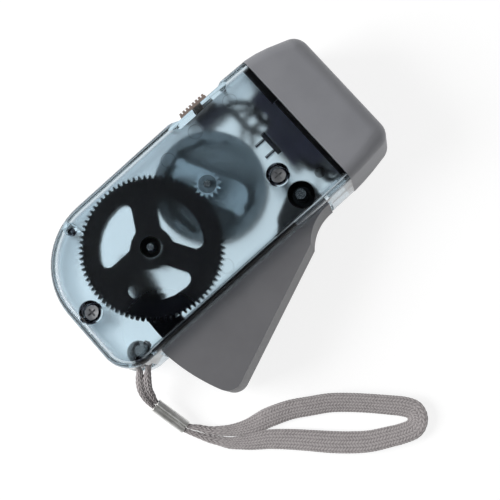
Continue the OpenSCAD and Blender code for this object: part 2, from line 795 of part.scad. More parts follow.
// Lever: outline about the pivot, inset by the wall for the hollow
module lever_outline(inset, lip) {
  end_r = lever_end_r - inset;
  corner = lever_corner_r - inset;
  corner_v = -lever_drop + lever_corner_r;
  corner_u = -sqrt(pow(lever_end_r - lever_corner_r, 2) - corner_v * corner_v);
  far = 2 * lever_end_r;
  difference() {
    intersection() {
      circle(end_r, $fn = 128);
      rotate(lever_slope) translate([-far, -lever_drop + inset]) square([2 * far, far]);
      translate([-far, -far]) square([far + lever_root_x, far - lip]);
    }
    translate(lever_step) circle(lever_step_r + inset);
    rotate(lever_slope) difference() {
      polygon([
        [corner_u, corner_v], [corner_u, -far], [-far, -far], [-far, far * corner_v / -corner_u]
      ]);
      translate([corner_u, corner_v]) circle(corner);
    }
  }
}

ear_points = [
  [-14.6, -lever_lip - 1], [-14.2, -lever_lip + eps], [-9.3, 0.4], [-3.6, 3.2],
  [3.6, 2.6], [lever_root_x, 0], [lever_root_x, -lever_lip - 1]
];
module ear_outline() {
  difference() {
    union() {
      circle(ear_r);
      polygon(ear_points);
    }
    circle(pin_r + run_fit);
  }
}

module lever() {
  color("dimgray") translate([pivot_x, pivot_y, lever_z0]) {
    for (side = [0, 1])
      translate([0, 0, side * (lever_w - lever_wall)]) difference() {
        linear_extrude(lever_wall) {
          lever_outline(0, lever_lip);
          ear_outline();
        }
        translate([0, 0, side * lever_wall - lever_seam]) rotate(lever_slope)
          translate([lever_seam_u, -lever_drop]) rotate(lever_seam_lean)
            translate([0, -1]) cube([lever_seam, lever_drop, 2 * lever_seam]);
      }
    linear_extrude(lever_w) difference() {
      lever_outline(0, lever_lip);
      lever_outline(lever_plate, lever_lip - 4);
    }
    difference() {
      for (u = foot_screws)
        foot_axis(u, -lever_drop + boss_root)
          cylinder(r = foot_boss_r, h = foot_v + lever_drop - boss_root);
      for (u = foot_screws)
        foot_axis(u, foot_v - rack_hole) cylinder(r = rack_screw_r + seat_fit, h = rack_hole + 1);
    }
  }
}

// An axis square to the lever's outer face, at u along it, starting at height v
module foot_axis(u, v) {
  rotate(lever_slope) translate([u, v, rack_mid_z - lever_z0]) rotate([-90, 0, 0]) children();
}

// Sector with inward teeth about the pivot; a gap stands where the pinion's tooth is
module rack_outline() {
  half = PI * rack_module / 4 + teeth_slack / 2;
  tip_r = rack_pitch_r - 0.9 * rack_module;
  root_r = rack_pitch_r + 1.25 * rack_module;
  a0 = mesh_dir - rack_lead;
  difference() {
    sector(rack_back_r, a0, rack_tail_dir);
    circle(tip_r, $fn = 256);
    rotate(lever_travel) translate([-2 * lever_end_r, wall_reach]) square([4 * lever_end_r, lever_end_r]);
    for (i = [-1 : rack_teeth - 1])
      rotate(mesh_dir + i * rack_step)
        polygon([
          [tip_r - 1, -half * 1.75], [tip_r, -half * 1.6], [rack_pitch_r, -half], [root_r, -half * 0.55],
          [root_r, half * 0.55], [rack_pitch_r, half], [tip_r, half * 1.6], [tip_r - 1, half * 1.75]
        ]);
  }
}

module sector(r, a0, a1) {
  far = 2 * r;
  intersection() {
    circle(r, $fn = 256);
    polygon([
      [0, 0], far * [cos(a0), sin(a0)], far * [cos((a0 + a1) / 2), sin((a0 + a1) / 2)],
      far * [cos(a1), sin(a1)]
    ]);
  }
}

module rack_sector() {
  color([0.1, 0.1, 0.12]) translate([pivot_x, pivot_y, 0]) difference() {
    union() {
      translate([0, 0, rack_z0]) linear_extrude(rack_t) intersection() {
        rack_outline();
        rotate(lever_slope) translate([-2 * lever_end_r, foot_v])
          square([4 * lever_end_r, 4 * lever_end_r]);
      }
      rotate(lever_slope) translate([foot_u0, foot_v, rack_mid_z - foot_w / 2])
        cube([foot_u1 - foot_u0, foot_t, foot_w]);
    }
    translate([0, 0, lever_z0]) for (u = foot_screws)
      foot_axis(u, foot_v - 1) cylinder(r = rack_screw_r + run_fit, h = foot_t + 2);
  }
}

module pan_screw(r, length, head_r, head_h) {
  difference() {
    union() {
      translate([0, 0, -length]) cylinder(r = r, h = length + eps);
      cylinder(r = head_r, h = head_h);
    }
    for (a = [0, 90])
      rotate(a) translate([-head_r * 0.6, -screw_cross / 2, head_h * 0.45])
        cube([head_r * 1.2, screw_cross, head_h]);
  }
}

module rack_screws() {
  color("silver") translate([pivot_x, pivot_y, lever_z0])
    for (u = foot_screws)
      foot_axis(u, foot_v + foot_t)
        pan_screw(rack_screw_r, foot_t + rack_screw_grip, rack_head_r, rack_head_h);
}

module case_screws() {
  color("silver") for (at = case_screw_at)
    translate([at.x, at.y, screw_seat_z])
      pan_screw(screw_r, screw_seat_z - screw_tip_z, screw_head_r, screw_head_h);
}

// Shafts
shaft_end = 0.1;
module shaft(at, r) {
  post(at, r, axle_seat_z0 + shaft_end, axle_seat_z1 - shaft_end);
}

module lever_pivot_pin() {
  color("silver") shaft(pivot_at, pin_r);
}

module gear_axle() {
  color("silver") shaft(gear_at, axle_r);
}

module rotor_axle() {
  color("silver") shaft(rotor_at, axle_r);
}

module return_spring() {
  color("silver") translate([pivot_x, pivot_y, 0])
    tube(spring_path, [for (p = spring_path) [wire_r, wire_r]], wire_sides);
}

// Large gear with its rack pinion below, as one moulding
spoke_dirs = [60, 180, 300];
module spoke_windows() {
  offset(r = window_r, $fn = 24) offset(delta = -window_r) difference() {
    circle(gear_web_r);
    circle(gear_hub_r);
    for (a = spoke_dirs)
      rotate(a) translate([0, -gear_spoke / 2]) square([2 * gear_web_r, gear_spoke]);
  }
}

module drive_gear() {
  recess = gear_boss_h - (ceil_z - gear_z1) + air;
  color([0.1, 0.1, 0.12]) translate([gear_x, gear_y, 0]) difference() {
    union() {
      translate([0, 0, gear_z0]) linear_extrude(gear_t) difference() {
        rotate(rotor_dir) gear_outline(gear_teeth, gear_module, teeth_slack);
        spoke_windows();
      }
      translate([0, 0, rack_z0 - air]) linear_extrude(gear_z0 - rack_z0 + air + eps)
        rotate(mesh_dir) gear_outline(pinion_teeth, rack_module, teeth_slack);
    }
    translate([0, 0, gear_z1 - recess]) cylinder(r = gear_boss_r + air, h = recess + 1);
    translate([0, 0, rack_z0 - 1]) cylinder(r = axle_r + run_fit, h = body_t);
  }
}

// Rotor pinion with its two pawls, which drive the flywheel one way only
pawl_dir = -63;
pawl_half = 7.2;
pawl_end_r = 4.3;
pawl_tip_r = 1.5;
pawl_tip = [10.4, -3.4];
module rotor_pinion() {
  top = ceil_z - 2 * air;
  color("lightslategray") translate([rotor_x, rotor_y, 0]) difference() {
    union() {
      translate([0, 0, pawl_z0]) linear_extrude(pawl_t) rotate(pawl_dir) {
        square([2 * pawl_half, 2 * pawl_end_r], center = true);
        for (a = [0, 180])
          rotate(a) {
            translate([pawl_half, 0]) circle(pawl_end_r);
            translate(pawl_tip) circle(pawl_tip_r);
          }
      }
      translate([0, 0, pawl_z1 - eps]) linear_extrude(top - pawl_z1)
        rotate(rotor_dir + 180 + 180 / rotor_teeth) gear_outline(rotor_teeth, gear_module, teeth_slack);
    }
    translate([0, 0, pawl_z0 - 1]) cylinder(r = axle_r + run_fit, h = body_t);
  }
}

module flywheel() {
  color([0.2, 0.22, 0.24]) translate([rotor_x, rotor_y, 0]) difference() {
    union() {
      translate([0, 0, wheel_z0]) cylinder(r = flywheel_r, h = wheel_z1 - wheel_z0, $fn = 128);
      translate([0, 0, sleeve_z0]) cylinder(r = sleeve_r, h = wheel_z0 - sleeve_z0 + 1);
    }
    translate([0, 0, wheel_deck]) linear_extrude(body_t)
      polygon([
        for (i = [0 : ratchet_teeth - 1], s = [0, 1])
          let (a = 360 / ratchet_teeth * (i + 0.15 * s), r = ratchet_r - ratchet_depth * s)
            [r * cos(a), r * sin(a)]
      ]);
    translate([0, 0, sleeve_z0 - 1]) cylinder(r = axle_r + run_fit, h = body_t);
  }
}

module ring_magnet() {
  color([0.3, 0.3, 0.32]) translate([rotor_x, rotor_y, sleeve_z0]) difference() {
    cylinder(r = magnet_r, h = wheel_z0 - sleeve_z0);
    translate([0, 0, -1]) cylinder(r = sleeve_r + seat_fit, h = body_t);
  }
}

// Claw poles: plates of sheet steel with bent fingers round the magnet
module fingers(start, h) {
  for (i = [0 : claws - 1])
    rotate(start + 360 / claws * i) linear_extrude(h) intersection() {
      difference() {
        circle(claw_r + claw_t);
        circle(claw_r);
      }
      polygon([
        [0, 0], 2 * stator_r * [cos(claw_span / 2), -sin(claw_span / 2)],
        2 * stator_r * [cos(claw_span / 2), sin(claw_span / 2)]
      ]);
    }
}

module stator_cup() {
  finger_h = stator_h - plate_t - claw_end_gap;
  color("darkgray") translate([rotor_x, rotor_y, stator_z0]) {
    difference() {
      cylinder(r = stator_r, h = stator_h - plate_t);
      translate([0, 0, plate_t]) cylinder(r = stator_r - plate_t, h = stator_h);
      translate([0, 0, -1]) cylinder(r = sleeve_r, h = stator_h);
    }
    translate([0, 0, plate_t / 2]) fingers(0, finger_h - plate_t / 2);
  }
}

module stator_plate() {
  finger_h = stator_h - plate_t - claw_end_gap;
  color("darkgray") translate([rotor_x, rotor_y, stator_z1 - plate_t]) {
    difference() {
      cylinder(r = stator_r, h = plate_t);
      translate([0, 0, -1]) cylinder(r = claw_r + claw_t / 2, h = plate_t + 2);
    }
    translate([0, 0, plate_t - finger_h]) fingers(180 / claws, finger_h - plate_t / 2);
  }
}

module coil_bobbin() {
  h = stator_h - 2 * plate_t;
  color("ivory") translate([rotor_x, rotor_y, stator_z0 + plate_t]) difference() {
    union() {
      cylinder(r = bobbin_r + bobbin_wall, h = h);
      cylinder(r = bobbin_flange_r, h = bobbin_wall);
      translate([0, 0, h - bobbin_wall]) cylinder(r = bobbin_flange_r, h = bobbin_wall);
    }
    translate([0, 0, -1]) cylinder(r = bobbin_r, h = h + 2);
  }
}

module coil_winding() {
  h = stator_h - 2 * plate_t - 2 * bobbin_wall;
  color("peru") translate([rotor_x, rotor_y, stator_z0 + plate_t + bobbin_wall]) difference() {
    cylinder(r = bobbin_flange_r - 0.4, h = h);
    translate([0, 0, -1]) cylinder(r = bobbin_r + bobbin_wall + run_fit, h = h + 2);
  }
}

// Wrist strap and its metal ferrule
module wrist_strap() {
  color("tan")
    tube(
      [for (p = strap_route) [p[0], p[1], p[2]]],
      [for (p = strap_route) [p[3] / 2, p[4] / 2]],
      strap_sides
    );
}

module strap_ferrule() {
  run = ferrule_to - ferrule_from;
  color("silver") translate(ferrule_from)
    rotate([0, atan2(-run.z, norm([run.x, run.y])), atan2(run.y, run.x)])
      rotate([90, 0, 90]) linear_extrude(norm(run)) difference() {
        union() {
          for (s = [-1, 1])
            translate([s * ferrule_half, 0]) circle(ferrule_r);
          square([2 * ferrule_half, 1.6 * ferrule_r], center = true);
        }
        for (s = [-1, 1])
          translate([s * ferrule_half, 0]) circle(ferrule_bore_r);
      }
}

upper_shell();
lower_shell();
head_cap();
lens();
reflector();
leds();
led_board();
diodes();
lamp_holder();
storage_cell();
cell_contacts();
switch_body();
switch_cap();
lever();
rack_sector();
rack_screws();
lever_pivot_pin();
return_spring();
drive_gear();
gear_axle();
rotor_pinion();
flywheel();
ring_magnet();
rotor_axle();
stator_cup();
stator_plate();
coil_bobbin();
coil_winding();
case_screws();
wrist_strap();
strap_ferrule();
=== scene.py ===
"""Looks of a hand-press dynamo flashlight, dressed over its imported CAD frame."""

import json
import logging
import math
from dataclasses import dataclass
from enum import Enum
from typing import Any

import bmesh
import bpy
import numpy as np
from bpy.types import ID, Material, Mesh, Node, NodeSocket, NodeTree, Object, World
from mathutils import Matrix


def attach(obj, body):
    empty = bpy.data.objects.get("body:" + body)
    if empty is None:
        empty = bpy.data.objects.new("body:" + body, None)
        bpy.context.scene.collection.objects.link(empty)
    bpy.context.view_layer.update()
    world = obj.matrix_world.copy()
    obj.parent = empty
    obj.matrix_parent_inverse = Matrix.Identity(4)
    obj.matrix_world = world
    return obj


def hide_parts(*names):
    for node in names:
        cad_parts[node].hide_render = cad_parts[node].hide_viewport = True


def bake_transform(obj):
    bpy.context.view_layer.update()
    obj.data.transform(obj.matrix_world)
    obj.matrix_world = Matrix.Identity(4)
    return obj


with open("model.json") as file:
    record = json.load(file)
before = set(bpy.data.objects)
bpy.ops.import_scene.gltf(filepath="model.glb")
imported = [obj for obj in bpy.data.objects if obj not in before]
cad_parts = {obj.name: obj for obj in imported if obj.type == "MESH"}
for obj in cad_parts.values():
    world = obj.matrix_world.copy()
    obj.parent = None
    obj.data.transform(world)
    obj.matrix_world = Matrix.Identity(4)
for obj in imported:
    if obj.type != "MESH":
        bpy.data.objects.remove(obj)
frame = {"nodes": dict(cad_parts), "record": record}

LOG = logging.getLogger("flashlight")
MM = 0.001
BODY_OF = {node: body for body, nodes in frame["record"]["behaviour"]["bodies"].items() for node in nodes}
# Sockets of a colour mix: its share and its two colours
SHARE, UNDER, OVER = 0, 6, 7
# Radians that Blender's band texture turns through in one unit at a scale of 1
WAVE_TURN = 20.0
# Points nearer than this, in metres, lie in one place
NEAR = 1e-5


def linear(code: str) -> tuple[float, float, float, float]:
    """Turns an sRGB hex colour into linear light.

    Args:
        code: Six hex digits.

    Returns:
        Linear red, green and blue, and an alpha of 1.
    """
    srgb = np.array([int(code[i:i + 2], 16) for i in (0, 2, 4)]) / 255.0
    light = np.where(srgb <= 0.04045, srgb / 12.92, ((srgb + 0.055) / 1.055) ** 2.4)
    return (float(light[0]), float(light[1]), float(light[2]), 1.0)


def per_mm(size: float) -> float:
    """Gives the texture scale whose features are this many millimetres across."""
    return 1.0 / (size * MM)


def blank_tree(owner: Material | World) -> NodeTree:
    """Gives a material or a world an empty node tree."""
    owner.use_nodes = True
    owner.node_tree.nodes.clear()
    return owner.node_tree


def add(tree: NodeTree, kind: str, links: dict[Any, Any] | None = None, **settings: Any) -> Node:
    """Adds one shader node with its settings and links.

    Args:
        tree: The tree that gets the node.
        kind: The node's type name without ShaderNode.
        links: Input name or number, and what it takes: a value, a socket, or a node's first output in use.
        settings: Properties of the node.

    Returns:
        The new node.
    """
    node = tree.nodes.new("ShaderNode" + kind)
    for key, value in settings.items():
        setattr(node, key, value)
    for key, value in (links or {}).items():
        source = next(out for out in value.outputs if out.enabled) if isinstance(value, Node) else value
        if isinstance(source, NodeSocket):
            tree.links.new(source, node.inputs[key])
        else:
            node.inputs[key].default_value = source
    return node


def placed(name: str, data: ID) -> Object:
    """Makes an object of some data and links it to the scene."""
    made = bpy.data.objects.new(name, data)
    bpy.context.scene.collection.objects.link(made)
    return made


def looking(right: np.ndarray, up: np.ndarray, back: np.ndarray, place: np.ndarray) -> Matrix:
    """Gives the matrix of a camera or lamp from its three directions and its place in metres."""
    return Matrix(np.column_stack([right, up, back, place]).tolist() + [[0, 0, 0, 1]])


def unit(rows: np.ndarray) -> np.ndarray:
    """Scales each row to length 1."""
    return rows / np.linalg.norm(rows, axis=-1, keepdims=True)


def smooth_path(route: tuple, step: float) -> np.ndarray:
    """Carries a smooth curve through rows of numbers and samples it evenly.

    The curve is a cubic between each two rows, whose slope at a row is half the way from the row
    before to the row after, worked out in sixteenths. Length is measured on the first three columns.

    Args:
        route: Points, one a row; columns after the third ride along.
        step: The distance between samples.

    Returns:
        The samples, as rows with the same columns.
    """
    rows = np.array(route)
    ends = np.vstack([2 * rows[0] - rows[1], rows, 2 * rows[-1] - rows[-2]])
    t = np.linspace(0, 1, 16, endpoint=False)[None, :, None]
    a, b, c, d = (ends[k:len(ends) - 3 + k, None, :] for k in range(4))
    curve = 0.5 * (
        2 * b + (c - a) * t + (2 * a - 5 * b + 4 * c - d) * t ** 2 + (3 * b - a - 3 * c + d) * t ** 3)
    curve = np.vstack([curve.reshape(-1, rows.shape[1]), rows[-1]])
    run = np.concatenate([[0], np.cumsum(np.linalg.norm(np.diff(curve[:, :3], axis=0), axis=1))])
    at = np.linspace(0, run[-1], max(2, round(run[-1] / step)) + 1)
    return np.column_stack([np.interp(at, run, column) for column in curve.T])


def frames(path: np.ndarray) -> tuple[np.ndarray, np.ndarray, np.ndarray]:
    """Gives a path's directions: along it, level to its right, and up from both.

    Args:
        path: Points, one a row.

    Returns:
        Unit rows along, right and up.
    """
    along = unit(np.gradient(path, axis=0))
    right = unit(np.cross(along, [0.0, 0.0, 1.0]))
    return along, right, np.cross(right, along)


def surface(name: str, points: np.ndarray, closed_rows: bool = False) -> Object:
    """Joins a grid of points into one closed skin of quads.

    Column j meets column j + 1 and the last meets the first. Rows end in flat caps, or meet
    round the grid where closed_rows is set.

    Args:
        name: The object's name.
        points: Rows by columns by three, in metres.
        closed_rows: Whether the last row meets the first.

    Returns:
        The object, linked to the scene.
    """
    rows, cols = points.shape[:2]
    spans = rows if closed_rows else rows - 1
    i, j = (grid.ravel() for grid in np.meshgrid(np.arange(spans), np.arange(cols), indexing="ij"))
    below, beside = (i + 1) % rows, (j + 1) % cols
    quads = np.column_stack([i * cols + j, i * cols + beside, below * cols + beside, below * cols + j])
    faces = quads.tolist()
    if not closed_rows:
        faces += [list(range(cols))[::-1], list(range((rows - 1) * cols, rows * cols))]
    mesh = bpy.data.meshes.new(name)
    mesh.from_pydata(points.reshape(-1, 3), [], faces)
    work = bmesh.new()
    work.from_mesh(mesh)
    bmesh.ops.recalc_face_normals(work, faces=work.faces)
    work.to_mesh(mesh)
    work.free()
    mesh.shade_smooth()
    return placed(name, mesh)


def tube(name: str, path: np.ndarray, radius: float, sides: int) -> Object:
    """Carries a circle along a path.

    A ring's point is its path's point, plus the radius times right by the turn's cosine and up by its sine.

    Args:
        name: The object's name.
        path: Points, one a row, in millimetres.
        radius: The tube's radius in millimetres.
        sides: Points in a ring.

    Returns:
        The tube, linked to the scene.
    """
    _, right, up = frames(path)
    turn = np.linspace(0, 2 * math.pi, sides, endpoint=False)[None, :, None]
    ring = right[:, None] * np.cos(turn) + up[:, None] * np.sin(turn)
    return surface(name, (path[:, None] + ring * radius) * MM)


class Edge(Enum):
    """How a copied solid's edges are finished, as a bevel's width in millimetres."""

    CRISP = 0.0
    BROKEN = 0.15
    SOFT = 0.4


@dataclass(frozen=True)
class Finish:
    """A surface finish, which makes one material.

    Attributes:
        name: The material's name: what it is and how it was made.
    """

    name: str

    def material(self) -> Material:
        """Returns the finish's material, which is made once."""
        found = bpy.data.materials.get(self.name)
        if found is None:
            found = bpy.data.materials.new(self.name)
            tree = blank_tree(found)
            add(tree, "OutputMaterial", {"Surface": self.paint(tree)})
        return found

    def paint(self, tree: NodeTree) -> Node:
        """Fills the material's node tree and returns its shader."""
        raise NotImplementedError


@dataclass(frozen=True)
class MouldedPlastic(Finish):
    """Opaque moulded plastic, resin or sinter: an even colour with faint flow, over a fine eroded grain.

    Attributes:
        colour: Main colour.
        tone: Colour of the flow marks.
        roughness: Mean roughness.
        spread: How far the grain moves the roughness either way.
        grain_mm: Size of the mould's grain, given no finer than 0.3 mm so that it shows.
        depth_mm: Depth of the grain.
        flow_mm: Size of the flow marks.
        gleam: Specular level; 0.5 is a polished plastic's.
        hub_shade: Colour of painted shade over the end that lies in the case, or nothing.
        hub_shade_mm: Where along Y the painted shade starts, and where it is full.
    """

    colour: str
    tone: str
    roughness: float = 0.5
    spread: float = 0.06
    grain_mm: float = 0.3
    depth_mm: float = 0.02
    flow_mm: float = 9.0
    gleam: float = 0.5
    hub_shade: str = ""
    hub_shade_mm: tuple = (0.0, 0.0)

    def paint(self, tree: NodeTree) -> Node:
        """Mixes the two colours by the flow and lets the grain turn the normal and the gloss."""
        place = add(tree, "TexCoord").outputs["Object"]
        flow = add(tree, "TexNoise", {"Vector": place, "Scale": per_mm(self.flow_mm), "Detail": 4.0})
        grain = add(tree, "TexNoise", {"Vector": place, "Scale": per_mm(self.grain_mm), "Detail": 2.0})
        share = add(tree, "MapRange", {"Value": flow, "From Min": 0.35, "From Max": 0.65})
        colour = add(tree, "Mix", {SHARE: share, UNDER: linear(self.colour), OVER: linear(self.tone)},
                     data_type="RGBA")
        # Painted shade: the end that lies in the case's shadow is mixed toward a dark colour along Y
        if self.hub_shade:
            along = add(tree, "SeparateXYZ", {0: place}).outputs["Y"]
            end = add(tree, "MapRange", {
                "Value": along, "From Min": self.hub_shade_mm[0] * MM, "From Max": self.hub_shade_mm[1] * MM})
            colour = add(tree, "Mix", {SHARE: end, UNDER: colour, OVER: linear(self.hub_shade)},
                         data_type="RGBA")
        gloss = add(tree, "MapRange", {
            "Value": grain, "From Min": 0.3, "From Max": 0.7,
            "To Min": self.roughness - self.spread, "To Max": self.roughness + self.spread})
        bump = add(tree, "Bump", {"Height": grain, "Strength": 0.6, "Distance": self.depth_mm * MM})
        return add(tree, "BsdfPrincipled", {
            "Base Color": colour, "Roughness": gloss, "IOR": 1.5, "Specular IOR Level": self.gleam,
            "Normal": bump})


@dataclass(frozen=True)
class ClearPlastic(Finish):
    """Clear polished plastic with a faint blue-grey cast, frosted on the faces that the mould's core made.

    Attributes:
        tint: What one wall lets through.
        polish: Roughness of the polished faces.
        frost: Roughness of the frosted level faces.
        core_mm: Lowest and highest height of the level faces that the core frosted.
        bright: Middle of the place where the core was polished too, and the radii where that fades.
        ior: Index of refraction.
        mirror: How much of the reflection of a face seen straight on is left.
        rim: Colour of painted shade on a rounded edge or an upright wall, which the eye looks along.
        rim_lean: Upward part of the normal where the rim's painted shade starts, and where it is full.
        edge: Colour of painted shade on the steep part of the outer rounding, which bends light away from the
            eye.
        edge_lean: The same for the edge's painted shade.
        edge_mm: Lowest and highest height of the outer rounding.
        shade: What one surface lets in of the lamps' light.
        dark: Colour of painted shade over bosses and ribs, whose walls throw the light aside.
        rings: Bosses as x, y, inner and outer radius in millimetres, share of the painted shade, and whether
            the skin over them stays clear.
        bars: Ribs and gaps under painted shade, as x and y of one corner and of the far one.
    """

    tint: str
    polish: float
    frost: float = 0.3
    core_mm: tuple = (24.0, 28.0)
    bright: tuple = (0.0, 0.0, 0.0, 0.0)
    ior: float = 1.5
    mirror: float = 0.08
    rim: str = "B2C0C9"
    rim_lean: tuple = (0.98, 0.6)
    edge: str = "4E5C66"
    edge_lean: tuple = (0.85, 0.4)
    edge_mm: tuple = (0.0, 0.0)
    shade: str = "F0F4F6"
    dark: str = "0A0A0E"
    rings: tuple = ()
    bars: tuple = ()

    def marks(self, tree: NodeTree, place: NodeSocket, behind: Node) -> Node:
        """Paints shade over bosses and ribs on the plan: a ring by its distance from a middle line, a bar by
        two ranges.

        Args:
            tree: The material's tree.
            place: The point, in metres.
            behind: 1 on the faces behind the skin and 0 on the skin.

        Returns:
            The share of the painted shade, 0 to 1.
        """
        plan = add(tree, "VectorMath", {0: place, 1: (1.0, 1.0, 0.0)}, operation="MULTIPLY")
        drawn = []
        for x, y, inner, outer, weight, deep in self.rings:
            away = add(tree, "VectorMath", {0: plan, 1: (x * MM, y * MM, 0.0)}, operation="DISTANCE")
            middle, half, soft = (inner + outer) / 2 * MM, (outer - inner) / 2 * MM, 0.12 * MM
            off = add(tree, "Math", {0: away, 1: middle}, operation="SUBTRACT")
            off = add(tree, "Math", {0: off}, operation="ABSOLUTE")
            ring = add(tree, "MapRange", {
                "Value": off, "From Min": half - soft, "From Max": half + soft,
                "To Min": weight, "To Max": 0.0})
            drawn.append(add(tree, "Math", {0: ring, 1: behind if deep else 1.0}, operation="MULTIPLY"))
        for x0, y0, x1, y1 in self.bars:
            middle, half = np.array([x0 + x1, y0 + y1]) / 2 * MM, np.abs([x1 - x0, y1 - y0]) / 2 * MM
            off = add(tree, "VectorMath", {0: plan, 1: (*middle, 0.0)}, operation="SUBTRACT")
            off = add(tree, "VectorMath", {0: off}, operation="ABSOLUTE")
            off = add(tree, "VectorMath", {0: off, 1: (*half, 0.0)}, operation="SUBTRACT")
            sides = add(tree, "SeparateXYZ", {0: off}).outputs
            off = add(tree, "Math", {0: sides["X"], 1: sides["Y"]}, operation="MAXIMUM")
            soft = 0.1 * MM
            bar = add(tree, "MapRange", {
                "Value": off, "From Min": -soft, "From Max": soft, "To Min": 1.0, "To Max": 0.0})
            drawn.append(add(tree, "Math", {0: bar, 1: behind}, operation="MULTIPLY"))
        share = drawn[0]
        for mark in drawn[1:]:
            share = add(tree, "Math", {0: share, 1: mark}, operation="MAXIMUM")
        return share

    def paint(self, tree: NodeTree) -> Node:
        """Frosts the level faces behind the skin, paints shade on rounded edges, walls, bosses and ribs, and
        lets the lamps' light through.
        """
        where = add(tree, "TexCoord").outputs
        place = where["Object"]
        height = add(tree, "SeparateXYZ", {0: place}).outputs["Z"]
        lean = add(tree, "SeparateXYZ", {0: where["Normal"]}).outputs["Z"]
        facing = add(tree, "Math", {0: lean}, operation="ABSOLUTE")
        level = add(tree, "Math", {0: facing, 1: 0.7}, operation="GREATER_THAN")
        core, outer = (
            add(tree, "Math", {0: height, 1: (low + high) / 2 * MM, 2: (high - low) / 2 * MM},
                operation="COMPARE")
            for low, high in (self.core_mm, self.edge_mm))
        skin = self.core_mm[1] * MM
        share = add(tree, "Math", {0: level, 1: core}, operation="MULTIPLY")
        x, y, polished, frosted = np.array(self.bright) * MM
        away = add(tree, "VectorMath", {0: place, 1: (x, y, skin)}, operation="DISTANCE")
        away = add(tree, "MapRange", {
            "Value": away, "From Min": polished, "From Max": frosted + NEAR})
        share = add(tree, "Math", {0: share, 1: away}, operation="MULTIPLY")
        gloss = add(tree, "MapRange", {"Value": share, "To Min": self.polish, "To Max": self.frost})
        wave = add(tree, "TexNoise", {"Vector": place, "Scale": per_mm(14.0), "Detail": 1.0})
        bump = add(tree, "Bump", {"Height": wave, "Strength": 0.25, "Distance": 0.1 * MM})
        # Painted shade on rounded edges and upright walls, darkest on the steep outer rounding, by the lean
        # of the normal
        rounded, steep = (
            add(tree, "MapRange", {"Value": facing, "From Min": start, "From Max": full})
            for start, full in (self.rim_lean, self.edge_lean))
        outer = add(tree, "Math", {0: outer, 1: steep}, operation="MULTIPLY")
        layers = [(rounded, self.rim), (outer, self.edge)]
        # Painted shade over the bosses and ribs
        if self.rings:
            behind = add(tree, "Math", {0: height, 1: skin}, operation="LESS_THAN")
            layers.append((self.marks(tree, place, behind), self.dark))
        colour = linear(self.tint)
        for share, over in layers:
            colour = add(tree, "Mix", {SHARE: share, UNDER: colour, OVER: linear(over)},
                         data_type="RGBA")
        glass = add(tree, "BsdfPrincipled", {
            "Base Color": colour, "Roughness": gloss, "IOR": self.ior, "Transmission Weight": 1.0,
            "Specular Tint": (self.mirror, self.mirror, self.mirror, 1.0), "Normal": bump})
        clear = add(tree, "BsdfTransparent", {"Color": linear(self.shade)})
        lamp = add(tree, "LightPath").outputs["Is Shadow Ray"]
        return add(tree, "MixShader", {0: lamp, 1: glass, 2: clear})


@dataclass(frozen=True)
class BrightMetal(Finish):
    """Worked metal: a bright colour with fine tool lines along one axis.

    Attributes:
        colour: Colour of the metal.
        stain: Colour of the duller patches.
        roughness: Mean roughness.
        line_mm: Spacing of the tool lines, given no finer than 0.2 mm so that they show.
        stretch: Width of a line over its length.
        along: Axis that the lines run along, 0 to 2, or 3 for none.
    """

    colour: str
    stain: str
    roughness: float = 0.25
    line_mm: float = 0.2
    stretch: float = 0.05
    along: int = 3

    def paint(self, tree: NodeTree) -> Node:
        """Stretches a noise along the tool's way for the lines, and dulls the metal in patches."""
        place = add(tree, "TexCoord").outputs["Object"]
        stretch = [self.stretch if axis == self.along else 1.0 for axis in range(3)]
        turned = add(tree, "Mapping", {"Vector": place, "Scale": stretch})
        lines = add(tree, "TexNoise", {"Vector": turned, "Scale": per_mm(self.line_mm), "Detail": 2.0})
        patch = add(tree, "TexNoise", {"Vector": place, "Scale": per_mm(3.0), "Detail": 3.0})
        share = add(tree, "MapRange", {"Value": patch, "From Min": 0.35, "From Max": 0.75})
        mix = add(tree, "Mix", {SHARE: share, UNDER: linear(self.colour), OVER: linear(self.stain)},
                  data_type="RGBA")
        gloss = add(tree, "MapRange", {
            "Value": lines, "From Min": 0.3, "From Max": 0.7,
            "To Min": self.roughness * 0.8, "To Max": self.roughness * 1.25})
        bump = add(tree, "Bump", {"Height": lines, "Strength": 0.3, "Distance": 0.01 * MM})
        return add(tree, "BsdfPrincipled", {
            "Base Color": mix, "Roughness": gloss, "Metallic": 1.0, "Normal": bump})


@dataclass(frozen=True)
class BraidedYarn(Finish):
    """Braided polyester yarn: soft and matt, each stitch made of fine threads, with painted shade in the
    valleys.

    Attributes:
        colour: Colour of the yarn on top of a stitch.
        shade: Colour of the painted shade down between the stitches.
        thread_mm: Width of one thread, drawn coarser than real so that it shows.
    """

    colour: str
    shade: str
    thread_mm: float = 0.22

    def paint(self, tree: NodeTree) -> Node:
        """Paints shade by the height of the stitch, kept as an attribute, mixed with a fuzz noise, and
        roughens it with fine threads.
        """
        place = add(tree, "TexCoord").outputs["Object"]
        rise = add(tree, "Attribute", attribute_name="rise")
        fuzz = add(tree, "TexNoise", {"Vector": place, "Scale": per_mm(1.6), "Detail": 4.0})
        # Painted shade by the stitch's height, with random fuzz over it
        fuzz_and_stitch_shade = add(tree, "Math", {0: fuzz, 1: 0.5, 2: rise.outputs["Fac"]}, operation="MULTIPLY_ADD")
        share = add(tree, "MapRange", {"Value": fuzz_and_stitch_shade, "From Min": 0.25, "From Max": 1.05})
        mix = add(tree, "Mix", {SHARE: share, UNDER: linear(self.shade), OVER: linear(self.colour)},
                  data_type="RGBA")
        threads = add(tree, "TexNoise", {"Vector": place, "Scale": per_mm(self.thread_mm), "Detail": 2.0})
        bump = add(tree, "Bump", {"Height": threads, "Strength": 0.7, "Distance": 0.05 * MM})
        return add(tree, "BsdfPrincipled", {
            "Base Color": mix, "Roughness": 0.85, "Sheen Weight": 0.25, "Sheen Roughness": 0.5,
            "Normal": bump})


